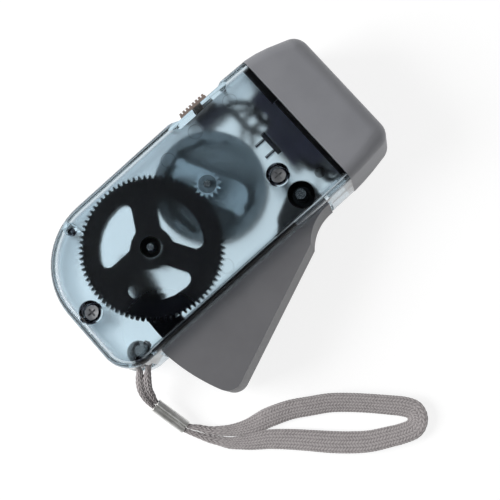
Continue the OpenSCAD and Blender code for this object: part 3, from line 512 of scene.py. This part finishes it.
@dataclass(frozen=True)
class WoundWire(Finish):
    """Enamelled copper wire, wound in layers: warm metal ruled in rings of painted shade.

    Attributes:
        colour: Colour of the wire's crown.
        groove_shade: Colour of the painted shade between two turns.
        wire_mm: Width of the wire, drawn coarser than real so that it shows.
    """

    colour: str
    groove_shade: str
    wire_mm: float = 0.35

    def paint(self, tree: NodeTree) -> Node:
        """Rules bands of painted shade along the axle, one for each turn."""
        place = add(tree, "TexCoord").outputs["Object"]
        turns = add(tree, "TexWave", {
            "Vector": place, "Scale": per_mm(self.wire_mm) * 2 * math.pi / WAVE_TURN, "Distortion": 0.6},
            bands_direction="Z")
        mix = add(tree, "Mix", {SHARE: turns, UNDER: linear(self.groove_shade), OVER: linear(self.colour)},
                  data_type="RGBA")
        bump = add(tree, "Bump", {"Height": turns, "Strength": 0.8, "Distance": 0.1 * MM})
        return add(tree, "BsdfPrincipled", {
            "Base Color": mix, "Roughness": 0.35, "Metallic": 0.8, "Normal": bump})


# A smoky clear wall, soft over the works where it is frosted, with painted shade: black over the bosses and
# ribs, and darker edges and walls
CASE_TOP = ClearPlastic(
    "Clear_styrene_upper_half", "E6F2F8", polish=0.04, frost=0.36, bright=(-33.5, -20.0, 5.04, 14.0),
    edge_mm=(27.0, 29.1), shade="C8CACC",
    # Painted shade: dark rings and discs over the bosses, whose walls throw the light aside
    rings=(
        # The lever's pin in its boss
        (20.7, -17.6, 2.6, 3.9, 1.0, True), (20.7, -17.6, 0.0, 2.6, 0.55, True),
        (20.7, -17.6, 1.5, 1.85, 0.9, True),
        # The wells of the two screws
        (19.6, -9.1, 2.1, 3.3, 1.0, False), (-45.6, -2.5, 2.1, 3.3, 1.0, False),
        # The axles of the large gear and of the flywheel
        (-20.8, 0.0, 1.5, 3.0, 1.0, True), (3.06, 2.59, 0.0, 2.6, 0.75, True),
        (3.06, 2.59, 2.35, 2.65, 0.85, True), (3.06, 2.45, 0.95, 1.2, 0.95, True),
        # The locating bore, the strap's post and the dowel behind the head
        (-34.7, 18.4, 0.0, 1.2, 1.0, False), (-44.2, -21.9, 0.0, 1.2, 1.0, False),
        (-42.8, -20.3, 0.0, 3.3, 0.78, False), (28.7, -16.6, 0.0, 1.5, 0.85, True),
        # Faint painted shade at the marks of the mould's ejector pins
        (23.6, 16.1, 1.95, 2.2, 0.35, True), (10.5, 16.2, 1.95, 2.2, 0.45, True),
        (-0.64, 15.3, 1.95, 2.2, 0.45, True), (-8.4, -18.5, 1.95, 2.2, 0.3, True)),
    bars=(
        # Painted shade over the forked rib and the head's joint, and a painted shadow in the gap along the
        # lever's side
        (23.45, -4.8, 24.95, 2.8), (20.25, -3.5, 24.2, -2.7), (20.25, 0.8, 24.2, 1.6),
        (32.0, 7.2, 34.1, 20.5), (32.6, -22.5, 34.1, 7.2), (-40.0, -23.1, 14.0, -21.5)))
# The same plastic behind the works, a pale blue ground for them, with painted shade on its edges and walls
CASE_BACK = ClearPlastic(
    "Clear_styrene_lower_half", "E6F2F8", polish=0.05, core_mm=(1.0, 4.0), edge_mm=(-0.1, 2.0),
    shade="C8CACC")
# A colourless, sharp window with light painted shade on its edges
LENS_CLEAR = ClearPlastic("Clear_acrylic_lens", "F6FAFB", polish=0.02, frost=0.02, ior=1.49, rim="E4EAEC")
# Milky lamps with a wet gleam
LAMP_RESIN = MouldedPlastic(
    "Cast_milky_lamp_resin", "EEEDDE", "E4E1C4", roughness=0.14, grain_mm=0.6, depth_mm=0.004, flow_mm=3.0)
# An even mid grey with a satin gleam
HEAD_GREY = MouldedPlastic("Satin_moulded_grey_head", "8F9095", "8A8B90", roughness=0.48, gleam=0.4)
# A darker satin grey, with painted shade: black over the end that lies in the case
LEVER_GREY = MouldedPlastic(
    "Satin_moulded_grey_lever", "6D6D70", "68686B", gleam=0.4, hub_shade="0C0F13", hub_shade_mm=(-22.3, -21.8))
# A warm grey that sets the grip apart from the blue wall
SWITCH_BROWN = MouldedPlastic("Satin_moulded_brown_grey", "86786F", "7B6D66")
# Nearly black and without gleam, so that the wheel reads as one dark shape
GEAR_BLACK = MouldedPlastic("Moulded_black_acetal", "07070C", "040408", roughness=0.42, gleam=0.05)
# A black with a violet cast behind the head's joint
HOLDER_BLACK = MouldedPlastic("Moulded_black_carrier", "302F3E", "272731", gleam=0.15)
# Dull black leads, a dark tangle through the frosted wall
SHEATH = MouldedPlastic("Drawn_black_sheath", "15151A", "0E0E12", roughness=0.45, flow_mm=3.0, gleam=0.15)
# A pale blue grey that stands out on the flywheel
PAWL_GREY = MouldedPlastic("Moulded_grey_nylon", "9BACB6", "8E9EA8", roughness=0.45, gleam=0.2)
# Cream, as nylon is without dye
BOBBIN = MouldedPlastic("Moulded_natural_nylon", "D8D2C0", "CCC5B2", roughness=0.45)
# Dark green under a glossy lacquer
BOARD = MouldedPlastic(
    "Lacquered_circuit_board", "123E22", "1A4A2A", roughness=0.3, grain_mm=0.8, flow_mm=2.0)
# A dull blue-grey metal with a sandy grain
FLYWHEEL = MouldedPlastic("Cast_dark_zinc", "68737A", "5E686E", roughness=0.45, grain_mm=0.4, gleam=0.2)
# A matt, dark, stony grey
MAGNET = MouldedPlastic("Sintered_ferrite", "3A3A3D", "2E2E31", roughness=0.6, depth_mm=0.03)
# Bright pins with a fine even grain
STEEL = BrightMetal("Turned_bright_steel", "B9BBBE", "8E9094")
# A greyer wire with lines from the drawing die
SPRING_WIRE = BrightMetal("Drawn_spring_wire", "A8A9AC", "86878A", roughness=0.3, along=2)
# A dull grey sheet with lines from the rolls
POLE_STEEL = BrightMetal("Pressed_pole_steel", "8E9196", "77797E", roughness=0.35, along=0)
# A bright can, finely brushed
CELL_CAN = BrightMetal("Plated_cell_can", "C4C4C2", "A9A9A7", roughness=0.22, along=1)
# Warm yellow springs on the cell
CONTACT = BrightMetal("Rolled_brass_strip", "C8A860", "A98B4A", roughness=0.3, along=2)
# A mirror round the lamps
BRIGHT_COAT = BrightMetal("Metal_coated_reflector", "E2E3E5", "D2D3D5", roughness=0.06, line_mm=1.0)
# Pale satin heads that show their cross through the wall
SCREW = BrightMetal("Plated_cross_head_screw", "E4E6E8", "A4A7AB", roughness=0.4)
# A warm white metal with broad soft glints
NICKEL = BrightMetal("Nickel_plated_sleeve", "F2F2F0", "DCDCD8", roughness=0.4, line_mm=0.8)
# A warm pale grey, with painted shade between the stitches
BRAID = BraidedYarn("Braided_polyester_yarn", "B6B0B0", "6C6768")
# Copper red, with painted shade between its turns
WINDING = WoundWire("Enamelled_copper_winding", "B5713A", "5A2E14")


def settle(piece: Object, node: str, rides: bool = True) -> None:
    """Puts a piece in its node's stead: on the node's body where it rides.

    Args:
        piece: The finished piece.
        node: The CAD node that it stands for.
        rides: Whether it moves with the body as one; a piece that spans two bodies doesn't.
    """
    if rides:
        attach(piece, BODY_OF[node])
    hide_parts(node)
    LOG.info("%s stands for %s on %s", piece.name, node, BODY_OF[node])


@dataclass
class SolidPiece:
    """A copy of a CAD solid with even shading, which stands for its node.

    Attributes:
        node: The CAD node.
        finish: Its finish.
        edge: How its edges are finished.
        joint_mm: Height of a face that meets a clear piece.
        joint_gap_mm: How far that face is drawn low, so that light finds both.
    """

    node: str
    finish: Finish
    edge: Edge = Edge.CRISP
    joint_mm: float | None = None
    joint_gap_mm: float = 0.03

    def mesh(self) -> Mesh:
        """Merges the node's triangles, joins level ones, and shades what is left by its creases.

        Returns:
            The mesh, with its finish.
        """
        work = bmesh.new()
        work.from_mesh(frame["nodes"][self.node].data)
        bmesh.ops.remove_doubles(work, verts=work.verts, dist=0.001 * MM)
        bmesh.ops.dissolve_limit(work, angle_limit=math.radians(0.4), verts=work.verts, edges=work.edges)
        mesh = bpy.data.meshes.new(self.node + "_dressed")
        work.to_mesh(mesh)
        work.free()
        if self.joint_mm is not None:
            points = np.zeros(len(mesh.vertices) * 3, np.float32)
            mesh.vertices.foreach_get("co", points)
            heights = points[2::3]
            heights[np.abs(heights - self.joint_mm * MM) < NEAR] -= self.joint_gap_mm * MM
            mesh.vertices.foreach_set("co", points)
        if mesh.attributes.get("custom_normal"):
            mesh.attributes.remove(mesh.attributes["custom_normal"])
        mesh.materials.clear()
        mesh.materials.append(self.finish.material())
        mesh.shade_smooth()
        mesh.set_sharp_from_angle(angle=math.radians(30))
        return mesh

    def build(self) -> None:
        """Finishes the mesh's edges and puts the piece in its node's stead."""
        mesh = self.mesh()
        piece = placed(mesh.name, mesh)
        if self.edge is not Edge.CRISP:
            bevel = piece.modifiers.new("broken_edges", "BEVEL")
            bevel.width = self.edge.value * MM
            bevel.segments = 2
            bevel.limit_method = "ANGLE"
            bevel.angle_limit = math.radians(40)
            bevel.use_clamp_overlap = True
        even = piece.modifiers.new("even_shading", "WEIGHTED_NORMAL")
        even.keep_sharp = True
        even.weight = 100
        settle(piece, self.node)


def dress(*rows: tuple) -> None:
    """Builds a solid piece from each row, which holds its values in order."""
    for row in rows:
        SolidPiece(*row).build()


# The strap's route from one end to the other: x, y, z, width and thickness in millimetres, roll in degrees
STRAP_ROUTE = (
    (-40.9, -17.0, 14.5, 1.5, 2.6, 0), (-40.4, -18.7, 14.5, 1.5, 2.6, 0), (-41.2, -20.5, 14.5, 1.5, 2.6, 0),
    (-43.2, -21.9, 14.3, 1.5, 2.6, 0), (-45.5, -23.4, 13.6, 1.7, 2.6, 0), (-47.2, -24.6, 12.4, 2.4, 2.5, 0),
    (-48.5, -25.7, 11.0, 2.7, 2.5, 0), (-49.7, -27.1, 9.0, 2.6, 2.4, 0), (-50.4, -29.0, 6.7, 2.2, 2.1, 0),
    (-50.8, -31.2, 4.9, 1.5, 1.7, 0), (-49.7, -36.5, 3.6, 1.5, 1.7, 0), (-48.7, -41.8, 2.3, 1.5, 1.7, 0),
    (-46.6, -44.7, 1.8, 2.1, 1.9, 0), (-44.8, -47.3, 1.5, 2.6, 1.9, 0), (-42.6, -49.4, 1.3, 3.1, 1.8, 0),
    (-40.3, -51.3, 1.2, 3.6, 1.8, 0), (-37.8, -52.9, 1.2, 4.2, 1.7, 0), (-35.0, -54.3, 1.3, 5.0, 1.7, 4),
    (-32.0, -55.3, 1.5, 5.8, 1.7, 12), (-28.9, -56.2, 1.8, 6.2, 1.7, 18), (-23.1, -58.6, 2.0, 6.2, 1.7, 22),
    (-18.0, -61.7, 2.1, 6.2, 1.7, 24), (-13.0, -64.9, 2.2, 6.2, 1.7, 26), (-8.6, -68.7, 2.2, 6.2, 1.7, 27),
    (-4.4, -72.8, 2.2, 6.2, 1.7, 27), (-0.4, -77.0, 2.1, 6.2, 1.7, 24), (2.3, -80.0, 2.0, 6.2, 1.7, 20),
    (3.8, -82.8, 1.8, 6.2, 1.7, 16), (2.9, -85.4, 1.7, 6.2, 1.7, 13), (0.2, -86.6, 1.6, 6.2, 1.7, 10),
    (-3.6, -85.3, 1.5, 6.2, 1.7, 8), (-6.5, -83.8, 1.4, 6.3, 1.7, 6), (-11.7, -80.9, 1.3, 6.5, 1.7, 4),
    (-16.3, -77.3, 1.2, 6.6, 1.7, 2), (-20.6, -73.3, 1.2, 6.6, 1.7, 0), (-24.7, -69.1, 1.2, 6.4, 1.7, 0),
    (-28.8, -65.0, 1.2, 6.2, 1.7, 0), (-33.1, -61.1, 1.2, 5.9, 1.7, 0), (-35.6, -59.4, 1.2, 5.5, 1.7, 0),
    (-38.2, -57.7, 1.2, 4.8, 1.7, 0), (-40.5, -55.9, 1.2, 4.2, 1.7, 0), (-42.8, -54.0, 1.2, 3.6, 1.8, 0),
    (-44.6, -51.6, 1.3, 3.1, 1.8, 0), (-46.4, -49.2, 1.5, 2.6, 1.9, 0), (-48.0, -46.5, 1.8, 2.1, 1.9, 0),
    (-50.2, -42.2, 2.3, 1.5, 1.7, 0), (-51.3, -36.9, 3.6, 1.5, 1.7, 0), (-52.3, -31.6, 4.9, 1.5, 1.7, 0),
    (-52.2, -28.6, 6.7, 2.2, 2.1, 0), (-51.4, -26.3, 9.0, 2.6, 2.4, 0), (-50.1, -24.5, 11.0, 2.7, 2.5, 0),
    (-48.8, -23.1, 12.4, 2.4, 2.5, 0), (-47.4, -21.6, 13.6, 1.7, 2.6, 0), (-46.2, -19.2, 14.3, 1.5, 2.6, 0),
    (-45.1, -17.0, 14.5, 1.5, 2.6, 0), (-43.3, -16.0, 14.5, 1.5, 2.6, 0), (-42.4, -16.1, 14.5, 1.5, 2.6, 0))


@dataclass
class WristStrap:
    """A flat braided cord, folded to a loop, whose two strands pass a crimped sleeve and end in the case.

    Attributes:
        width_mm: Width of the ribbon where it lies free; not used.
        oval_power: Power of the section's cosine and sine; below 1 is squarer than an ellipse.
        oval_flat: Thickness over width by which the section's points are spaced.
        skin_mm: How far the section lies under the mean of the stitches.
        ring_points: Points in a ring of the mesh.
        columns: Rows of stitches round the ribbon, and round it where it is drawn together.
        stitch_mm: Length of a stitch.
        stitch_rise_mm: Height of a stitch.
        stitch_mean: Mean height of the stitches, as a share.
        coarse_rise: How many times as high the coarse stitches are.
        slant: How far a stitch leans over its column, as a share of its length.
        arch: Powers that flatten a stitch along and across, and the share of it cut off at each side.
        drift: Unevenness: share of a stitch, radians in a millimetre, and radians from column to column.
        drawn_mm: Widths at which the stitches are all coarse, and all fine.
        step_mm: Distance between rings.
        sleeve: Start and end of the sleeve, in millimetres.
        sleeve_r_mm: Outer radius of the sleeve's two lobes.
        sleeve_half_mm: Distance of a lobe from the sleeve's middle.
        sleeve_wall_mm: Wall of the sleeve.
        sleeve_grid: Points round the sleeve, and rings between its rims.
        crease: Depth of the crease between the lobes as a share of their height, and its half width.
        rim_mm: Distances from the sleeve's end, and how far in its rim lies there.
    """

    width_mm: float = 6.2
    oval_power: float = 0.8
    oval_flat: float = 0.33
    skin_mm: float = 0.08
    ring_points: int = 70
    columns: tuple = (14, 8)
    stitch_mm: float = 0.9
    stitch_rise_mm: float = 0.17
    stitch_mean: float = 0.6
    coarse_rise: float = 2.2
    slant: float = 0.9
    arch: tuple = (0.7, 0.5, 0.05)
    drift: tuple = (0.16, 0.83, 2.3)
    drawn_mm: tuple = (2.7, 3.9)
    step_mm: float = 0.2
    sleeve: tuple = ((-51.55, -31.4, 4.9), (-49.45, -42.0, 2.3))
    sleeve_r_mm: float = 1.25
    sleeve_half_mm: float = 0.8
    sleeve_wall_mm: float = 0.27
    sleeve_grid: tuple = (96, 24)
    crease: tuple = (0.5, 0.26)
    rim_mm: tuple = ((0.0, 0.06, 0.16, 0.3), (0.14, 0.05, 0.0, 0.0))

    def oval(self, turn: np.ndarray) -> np.ndarray:
        """Gives the section's points: cosine and sine of the turn, each raised to the power with its sign."""
        wave = np.column_stack([np.cos(turn), np.sin(turn)])
        return np.sign(wave) * np.abs(wave) ** self.oval_power

    def section(self) -> tuple[np.ndarray, np.ndarray]:
        """Spaces a ring's points evenly round a flat oval.

        Returns:
            The points as shares of half the width and half the thickness, and their outward directions.
        """
        turn = np.linspace(0, 2 * math.pi, num=2000)
        steps = np.diff(self.oval(turn) * [1, self.oval_flat], axis=0)
        run = np.concatenate([[0], np.cumsum(np.linalg.norm(steps, axis=1))])
        at = np.interp(np.arange(self.ring_points) / self.ring_points * run[-1], run, turn)
        return self.oval(at), unit(np.column_stack([np.cos(at), np.sin(at)]) * [self.oval_flat, 1.0])

    def stitches(self, length: np.ndarray, columns: int) -> np.ndarray:
        """Raises slanted stitches.

        Round the ribbon run columns of stitches. Down a column, a stitch is an arch of a sine along the
        ribbon, slanted one way in even columns and the other way in odd ones, times an arch across it.
        Fewer columns have longer stitches, of the same proportions. A slow wave, which differs from column
        to column, makes the stitches a little uneven.

        Args:
            length: How far along the ribbon each ring lies, in millimetres.
            columns: Rows of stitches round the ribbon.

        Returns:
            The height of each point, 0 to 1, ring by ring.
        """
        column = np.arange(self.ring_points) / self.ring_points * columns
        number, across = column.astype(int), column % 1.0
        lean = np.where(number % 2 == 0, 1.0, -1.0) * (across - 0.5) * self.slant
        share, pace, change = self.drift
        drift = share * np.sin(length[:, None] * pace + number * change)
        phase = length[:, None] / (self.stitch_mm * self.columns[0] / columns) + lean + drift
        flat, flat_across, cut = self.arch
        across = across * (1 - 2 * cut) + cut
        return np.abs(np.sin(math.pi * phase)) ** flat * np.sin(math.pi * across) ** flat_across

    def build(self) -> None:
        path = smooth_path(STRAP_ROUTE, self.step_mm)
        width, depth, roll = path[:, 3, None], path[:, 4, None], np.radians(path[:, 5, None])
        _, right, up = frames(path[:, :3])
        side = right * np.cos(roll) - up * np.sin(roll)
        top = right * np.sin(roll) + up * np.cos(roll)
        oval, out = self.section()
        length = np.arange(len(path)) * self.step_mm
        fine, coarse = (self.stitches(length, columns) for columns in self.columns)
        spread = np.interp(width, self.drawn_mm, (0, 1))
        rise = coarse + (fine - coarse) * spread
        height = self.stitch_rise_mm * (self.coarse_rise + (1 - self.coarse_rise) * spread)
        lift = (rise - self.stitch_mean) * height
        wide = oval[:, 0] * (width / 2 - self.skin_mm) + out[:, 0] * lift
        thick = oval[:, 1] * (depth / 2 - self.skin_mm) + out[:, 1] * lift
        points = path[:, None, :3] + side[:, None] * wide[..., None] + top[:, None] * thick[..., None]
        cord = surface("braided_wrist_strap", points * MM)
        kept = cord.data.attributes.new("rise", "FLOAT", "POINT").data
        kept.foreach_set("value", rise.astype(np.float32).ravel())
        cord.data.materials.append(BRAID.material())
        settle(cord, "wrist_strap")
        sleeve = self.crimp()

    def crimp(self) -> Object:
        """Rolls the sleeve: a wall round two lobes, creased between them and turned in at its ends.

        The outline's half height is a squared circle's over each lobe, of power three, and dips between them
        as a narrow bell. The profile runs down the outside, over the rim and back up the inside.

        Returns:
            The sleeve.
        """
        start, end = (np.array(point) for point in self.sleeve)
        length = float(np.linalg.norm(end - start))
        count, rings = self.sleeve_grid
        turn = np.linspace(0, 2 * math.pi, count, endpoint=False)
        wide = np.cos(turn) * (self.sleeve_half_mm + self.sleeve_r_mm)
        lobe = np.clip((np.abs(wide) - self.sleeve_half_mm) / self.sleeve_r_mm, 0, 1)
        high = np.sign(np.sin(turn)) * np.cbrt(np.maximum(1 - lobe ** 3, 0)) * self.sleeve_r_mm
        dip, dip_mm = self.crease
        high = high * (1 - dip * np.exp(-(wide / dip_mm) ** 2))
        # Outward as on an oval, and a hair more, so that every direction has a length
        flat, hair = 0.5, 1e-9
        out = unit(np.column_stack([wide * flat, high]) + hair)
        rim, turned_in = np.array(self.rim_mm)
        between = np.linspace(rim[-1], length - rim[-1], rings)[1:-1]
        down = np.concatenate([rim, between, length - rim[::-1]])
        inset = np.interp(np.minimum(down, length - down), rim, turned_in)
        at = np.concatenate([down, down[::-1]])
        depth = np.concatenate([inset, np.full(len(down), self.sleeve_wall_mm)])
        along, right, up = (rows[0] for rows in frames(np.array([start, end])))
        shape = np.column_stack([wide, high])[None] - out[None] * depth[:, None, None]
        points = start + at[:, None, None] * along + shape[..., :1] * right + shape[..., 1:] * up
        sleeve = surface("crimped_nickel_sleeve", points * MM, closed_rows=True)
        sleeve.data.materials.append(NICKEL.material())
        settle(sleeve, "strap_ferrule")
        return sleeve


@dataclass
class SqueezeLever:
    """The sprung lever with its rack, its pin and the torsion spring.

    Attributes:
        pivot_mm: Place of the pin.
        coil_r_mm: Mean radius of the spring's coil.
        coil_points: Points along the coil.
        wire_r_mm: Radius of its wire.
        coil_z_mm: Lowest and highest height of the coil.
        coil_from_deg: Angle at which the coil leaves its lower leg.
        coil_sweep_deg: How far it winds, clockwise.
        post_leg_mm: Far end and touch of the leg on the case's post, from the pivot.
        lever_leg_mm: Touch and far end of the leg on the lever, from the pivot.
    """

    pivot_mm: tuple = (20.7, -17.6)
    coil_r_mm: float = 3.0
    coil_points: int = 300
    wire_r_mm: float = 0.4
    coil_z_mm: tuple = (10.5, 17.5426)
    coil_from_deg: float = -47.8
    coil_sweep_deg: float = 1810.94
    post_leg_mm: tuple = ((7.575, 2.819), (6.39, 1.745))
    lever_leg_mm: tuple = ((-12.767, -11.259), (-14.256, -11.844))

    def spring(self) -> None:
        """Winds a round wire: a straight leg, a clockwise screw line about the pin, and a straight leg.

        In the real lamp the leg on the post stays with the case and the other turns with the lever, so the
        coil winds up between them; here the wire rides on neither body.
        """
        share = np.linspace(0, 1, self.coil_points)
        turn = np.radians(self.coil_from_deg - self.coil_sweep_deg * share)
        low, high = self.coil_z_mm
        coil = np.column_stack([
            self.coil_r_mm * np.cos(turn), self.coil_r_mm * np.sin(turn), low + (high - low) * share])
        first = np.column_stack([self.post_leg_mm, [low, low]])
        last = np.column_stack([self.lever_leg_mm, [high, high]])
        path = np.vstack([first, coil, last]) + [*self.pivot_mm, 0.0]
        spring = tube("wound_return_spring", path, self.wire_r_mm, sides=14)
        spring.data.materials.append(SPRING_WIRE.material())
        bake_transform(spring)
        settle(spring, "return_spring", rides=False)

    def build(self) -> None:
        """Dresses the lever and what works on it."""
        dress(("lever", LEVER_GREY, Edge.SOFT), ("rack_sector", GEAR_BLACK), ("rack_screws", SCREW),
              ("lever_pivot_pin", STEEL))
        self.spring()


@dataclass
class ClearCase:
    """The two clear halves and their screws.

    Attributes:
        joint_mm: Height at which the halves meet.
    """

    joint_mm: float = 14.5

    def build(self) -> None:
        """Dresses the halves and the screws."""
        dress(("upper_shell", CASE_TOP), ("lower_shell", CASE_BACK, Edge.CRISP, self.joint_mm),
              ("case_screws", SCREW))


@dataclass
class LampHead:
    """The grey cap with its window, and the lamps, board and cell behind it."""

    def build(self) -> None:
        """Dresses the cap and everything that it covers."""
        dress(("head_cap", HEAD_GREY, Edge.BROKEN), ("lens", LENS_CLEAR), ("reflector", BRIGHT_COAT),
              ("leds", LAMP_RESIN), ("led_board", BOARD), ("diodes", HOLDER_BLACK),
              ("lamp_holder", HOLDER_BLACK), ("storage_cell", CELL_CAN), ("cell_contacts", CONTACT))


# Points of each lead in millimetres: two from the coil, two from the switch, and four about the cell
LEAD_ROUTES = (
    ((15.7, 8.5, 5.0), (20.5, 10.5, 7.0), (23.5, 12.5, 11.0), (26.5, 12.0, 14.0),
     (30.0, 9.5, 14.5), (32.4, 8.2, 14.0)),
    ((16.7, 5.5, 4.4), (21.0, 6.5, 7.0), (23.0, 8.5, 11.0), (25.5, 8.3, 14.5),
     (29.0, 6.5, 15.5), (32.4, 5.5, 15.0)),
    ((22.3, 18.0, 16.0), (24.5, 17.6, 16.5), (27.2, 15.6, 15.0), (29.6, 13.4, 14.0), (32.4, 12.2, 13.5)),
    ((22.3, 17.4, 12.5), (24.6, 15.5, 12.0), (27.4, 14.2, 12.0), (30.0, 15.4, 12.0), (32.4, 16.2, 12.0)),
    ((25.5, 4.8, 13.0), (24.2, 6.2, 15.5), (22.8, 9.6, 16.5), (22.6, 13.2, 16.5), (22.4, 16.9, 15.5)),
    ((28.0, 4.8, 15.0), (27.0, 7.5, 17.5), (27.5, 10.8, 17.5), (30.0, 11.5, 17.0), (32.4, 10.0, 16.5)),
    ((28.5, -9.8, 15.0), (28.0, -12.0, 18.0), (29.5, -14.5, 19.0), (31.0, -16.5, 18.0), (32.4, -17.5, 16.0)),
    ((30.8, -9.8, 18.0), (30.6, -13.0, 19.5), (29.4, -17.0, 19.5), (30.6, -19.4, 17.5), (32.4, -19.8, 15.0)))


@dataclass
class LampLeads:
    """Thin insulated leads between the coil, the switch, the cell and the lamp board, fixed inside the case.

    Attributes:
        radius_mm: Radius over the sheath.
    """

    radius_mm: float = 0.9

    def build(self) -> None:
        """Carries a circle along each route."""
        for number, route in enumerate(LEAD_ROUTES, 1):
            lead = tube(f"insulated_lead_{number}", smooth_path(route, step=0.4), self.radius_mm, sides=12)
            lead.data.materials.append(SHEATH.material())
            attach(lead, "case")
            LOG.info("%s is a detail on case", lead.name)


@dataclass
class SlideSwitch:
    """The ribbed slider and its box."""

    def build(self) -> None:
        """Dresses the slider and its box."""
        dress(("switch_cap", SWITCH_BROWN, Edge.BROKEN), ("switch_body", HOLDER_BLACK))


@dataclass
class Generator:
    """The gear train, the flywheel and the coil that it excites."""

    def build(self) -> None:
        """Dresses the moving train and the still poles."""
        dress(("drive_gear", GEAR_BLACK), ("gear_axle", STEEL), ("rotor_pinion", PAWL_GREY),
              ("flywheel", FLYWHEEL), ("ring_magnet", MAGNET), ("rotor_axle", STEEL),
              ("stator_cup", POLE_STEEL), ("stator_plate", POLE_STEEL), ("coil_bobbin", BOBBIN),
              ("coil_winding", WINDING))


@dataclass
class Studio:
    """The camera, a white floor, and soft light from the sides under a dim ceiling.

    Attributes:
        target_mm: Point at the middle of the picture.
        distance_mm: Distance of the camera.
        tilt_deg: How far the camera leans from straight above, toward the lever side.
        roll_deg: How far the picture is turned.
        lens_mm: Focal length on a 36 mm wide picture.
        floor_half_mm: Half the floor's width.
        floor_gap_mm: How far the floor lies below the part.
        boxes: Soft boxes as name, place in millimetres and power in watts.
        box_mm: Width of a soft box.
    """

    target_mm: tuple = (-0.45, -17.5, 14.5)
    distance_mm: float = 450.0
    tilt_deg: float = 9.5
    roll_deg: float = 42.0
    lens_mm: float = 111.97
    floor_half_mm: float = 3000.0
    floor_gap_mm: float = 0.4
    boxes: tuple = (("left_box", (-450.0, 250.0, 420.0), 3.9), ("right_box", (450.0, -300.0, 420.0), 0.45))
    box_mm: float = 350.0

    def camera(self) -> None:
        """Sets the camera at the photograph's angle."""
        tilt, roll = math.radians(self.tilt_deg), math.radians(self.roll_deg)
        back = np.array([0.0, -math.sin(tilt), math.cos(tilt)])
        rise = np.array([0.0, math.cos(tilt), math.sin(tilt)])
        over = np.array([1.0, 0.0, 0.0])
        right = math.cos(roll) * over - math.sin(roll) * rise
        up = math.sin(roll) * over + math.cos(roll) * rise
        data = bpy.data.cameras.new("photo_camera")
        data.lens = self.lens_mm
        data.sensor_width = 36.0
        data.sensor_fit = "HORIZONTAL"
        data.clip_start = 0.01
        camera = placed("photo_camera", data)
        place = (np.array(self.target_mm) + self.distance_mm * back) * MM
        camera.matrix_world = looking(right, up, back, place)
        bpy.context.scene.camera = camera

    def floor(self) -> None:
        """Lays a floor that is white to the eye with a soft shadow, and throws light back as paper does."""
        corners = np.array([(-1, -1), (1, -1), (1, 1), (-1, 1)]) * self.floor_half_mm * MM
        mesh = bpy.data.meshes.new("white_floor")
        mesh.from_pydata(np.column_stack([corners, np.full(4, -self.floor_gap_mm * MM)]), [], [(0, 1, 2, 3)])
        white = bpy.data.materials.new("White_paper_floor")
        tree = blank_tree(white)
        ray = add(tree, "LightPath").outputs
        seen = add(tree, "Math", {0: ray["Is Camera Ray"], 1: ray["Is Glossy Ray"]}, operation="MAXIMUM")
        seen = add(tree, "Math", {0: seen, 1: ray["Is Transmission Ray"]}, operation="MAXIMUM")
        glow = add(tree, "Emission", {"Color": linear("FFFFFF"), "Strength": 0.82})
        paper = add(tree, "BsdfDiffuse", {"Color": linear("8C8C8C")})
        both = add(tree, "AddShader", {0: glow, 1: paper})
        plain = add(tree, "BsdfDiffuse", {"Color": linear("F0F0F0")})
        mix = add(tree, "MixShader", {0: seen, 1: plain, 2: both})
        add(tree, "OutputMaterial", {"Surface": mix})
        mesh.materials.append(white)
        placed("white_floor", mesh)

    def light(self) -> None:
        """Hangs two soft boxes in a room, white to the eye, dim overhead and on the lever's side."""
        world = bpy.data.worlds.new("white_room")
        bpy.context.scene.world = world
        tree = blank_tree(world)
        way = add(tree, "SeparateXYZ", {0: add(tree, "TexCoord").outputs["Generated"]}).outputs
        high = add(tree, "MapRange", {
            "Value": way["Z"], "From Min": 0.25, "From Max": 0.9, "To Min": 0.9, "To Max": 0.1})
        away = add(tree, "MapRange", {"Value": way["Y"], "From Min": -0.9, "From Max": 0.2, "To Min": 0.25})
        level = add(tree, "Math", {0: high, 1: away}, operation="MULTIPLY")
        room = add(tree, "Background", {"Color": linear("FFFFFF"), "Strength": level})
        seen = add(tree, "Background", {"Color": linear("FFFFFF")})
        eye = add(tree, "LightPath").outputs["Is Camera Ray"]
        mix = add(tree, "MixShader", {0: eye, 1: room, 2: seen})
        add(tree, "OutputWorld", {"Surface": mix})
        for name, place_mm, power in self.boxes:
            data = bpy.data.lights.new(name, "AREA")
            data.shape = "SQUARE"
            data.size = self.box_mm * MM
            data.energy = power
            place = np.array(place_mm) * MM
            back = unit(place)
            side = unit(np.cross([0.0, 0.0, 1.0], back))
            placed(name, data).matrix_world = looking(side, np.cross(back, side), back, place)

    def build(self) -> None:
        """Sets the camera, the floor and the light."""
        bpy.context.scene.view_settings.view_transform = "Standard"
        cycles = bpy.context.scene.cycles
        cycles.max_bounces = 24
        cycles.glossy_bounces = 16
        cycles.transmission_bounces = 24
        self.camera()
        self.floor()
        self.light()


def main() -> None:
    """Builds the studio, the strap and each sub-assembly."""
    logging.basicConfig(level=logging.INFO, format="%(message)s")
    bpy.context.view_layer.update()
    Studio().build()
    WristStrap().build()
    ClearCase().build()
    LampHead().build()
    LampLeads().build()
    SlideSwitch().build()
    SqueezeLever().build()
    Generator().build()


if __name__ == "__main__":
    main()
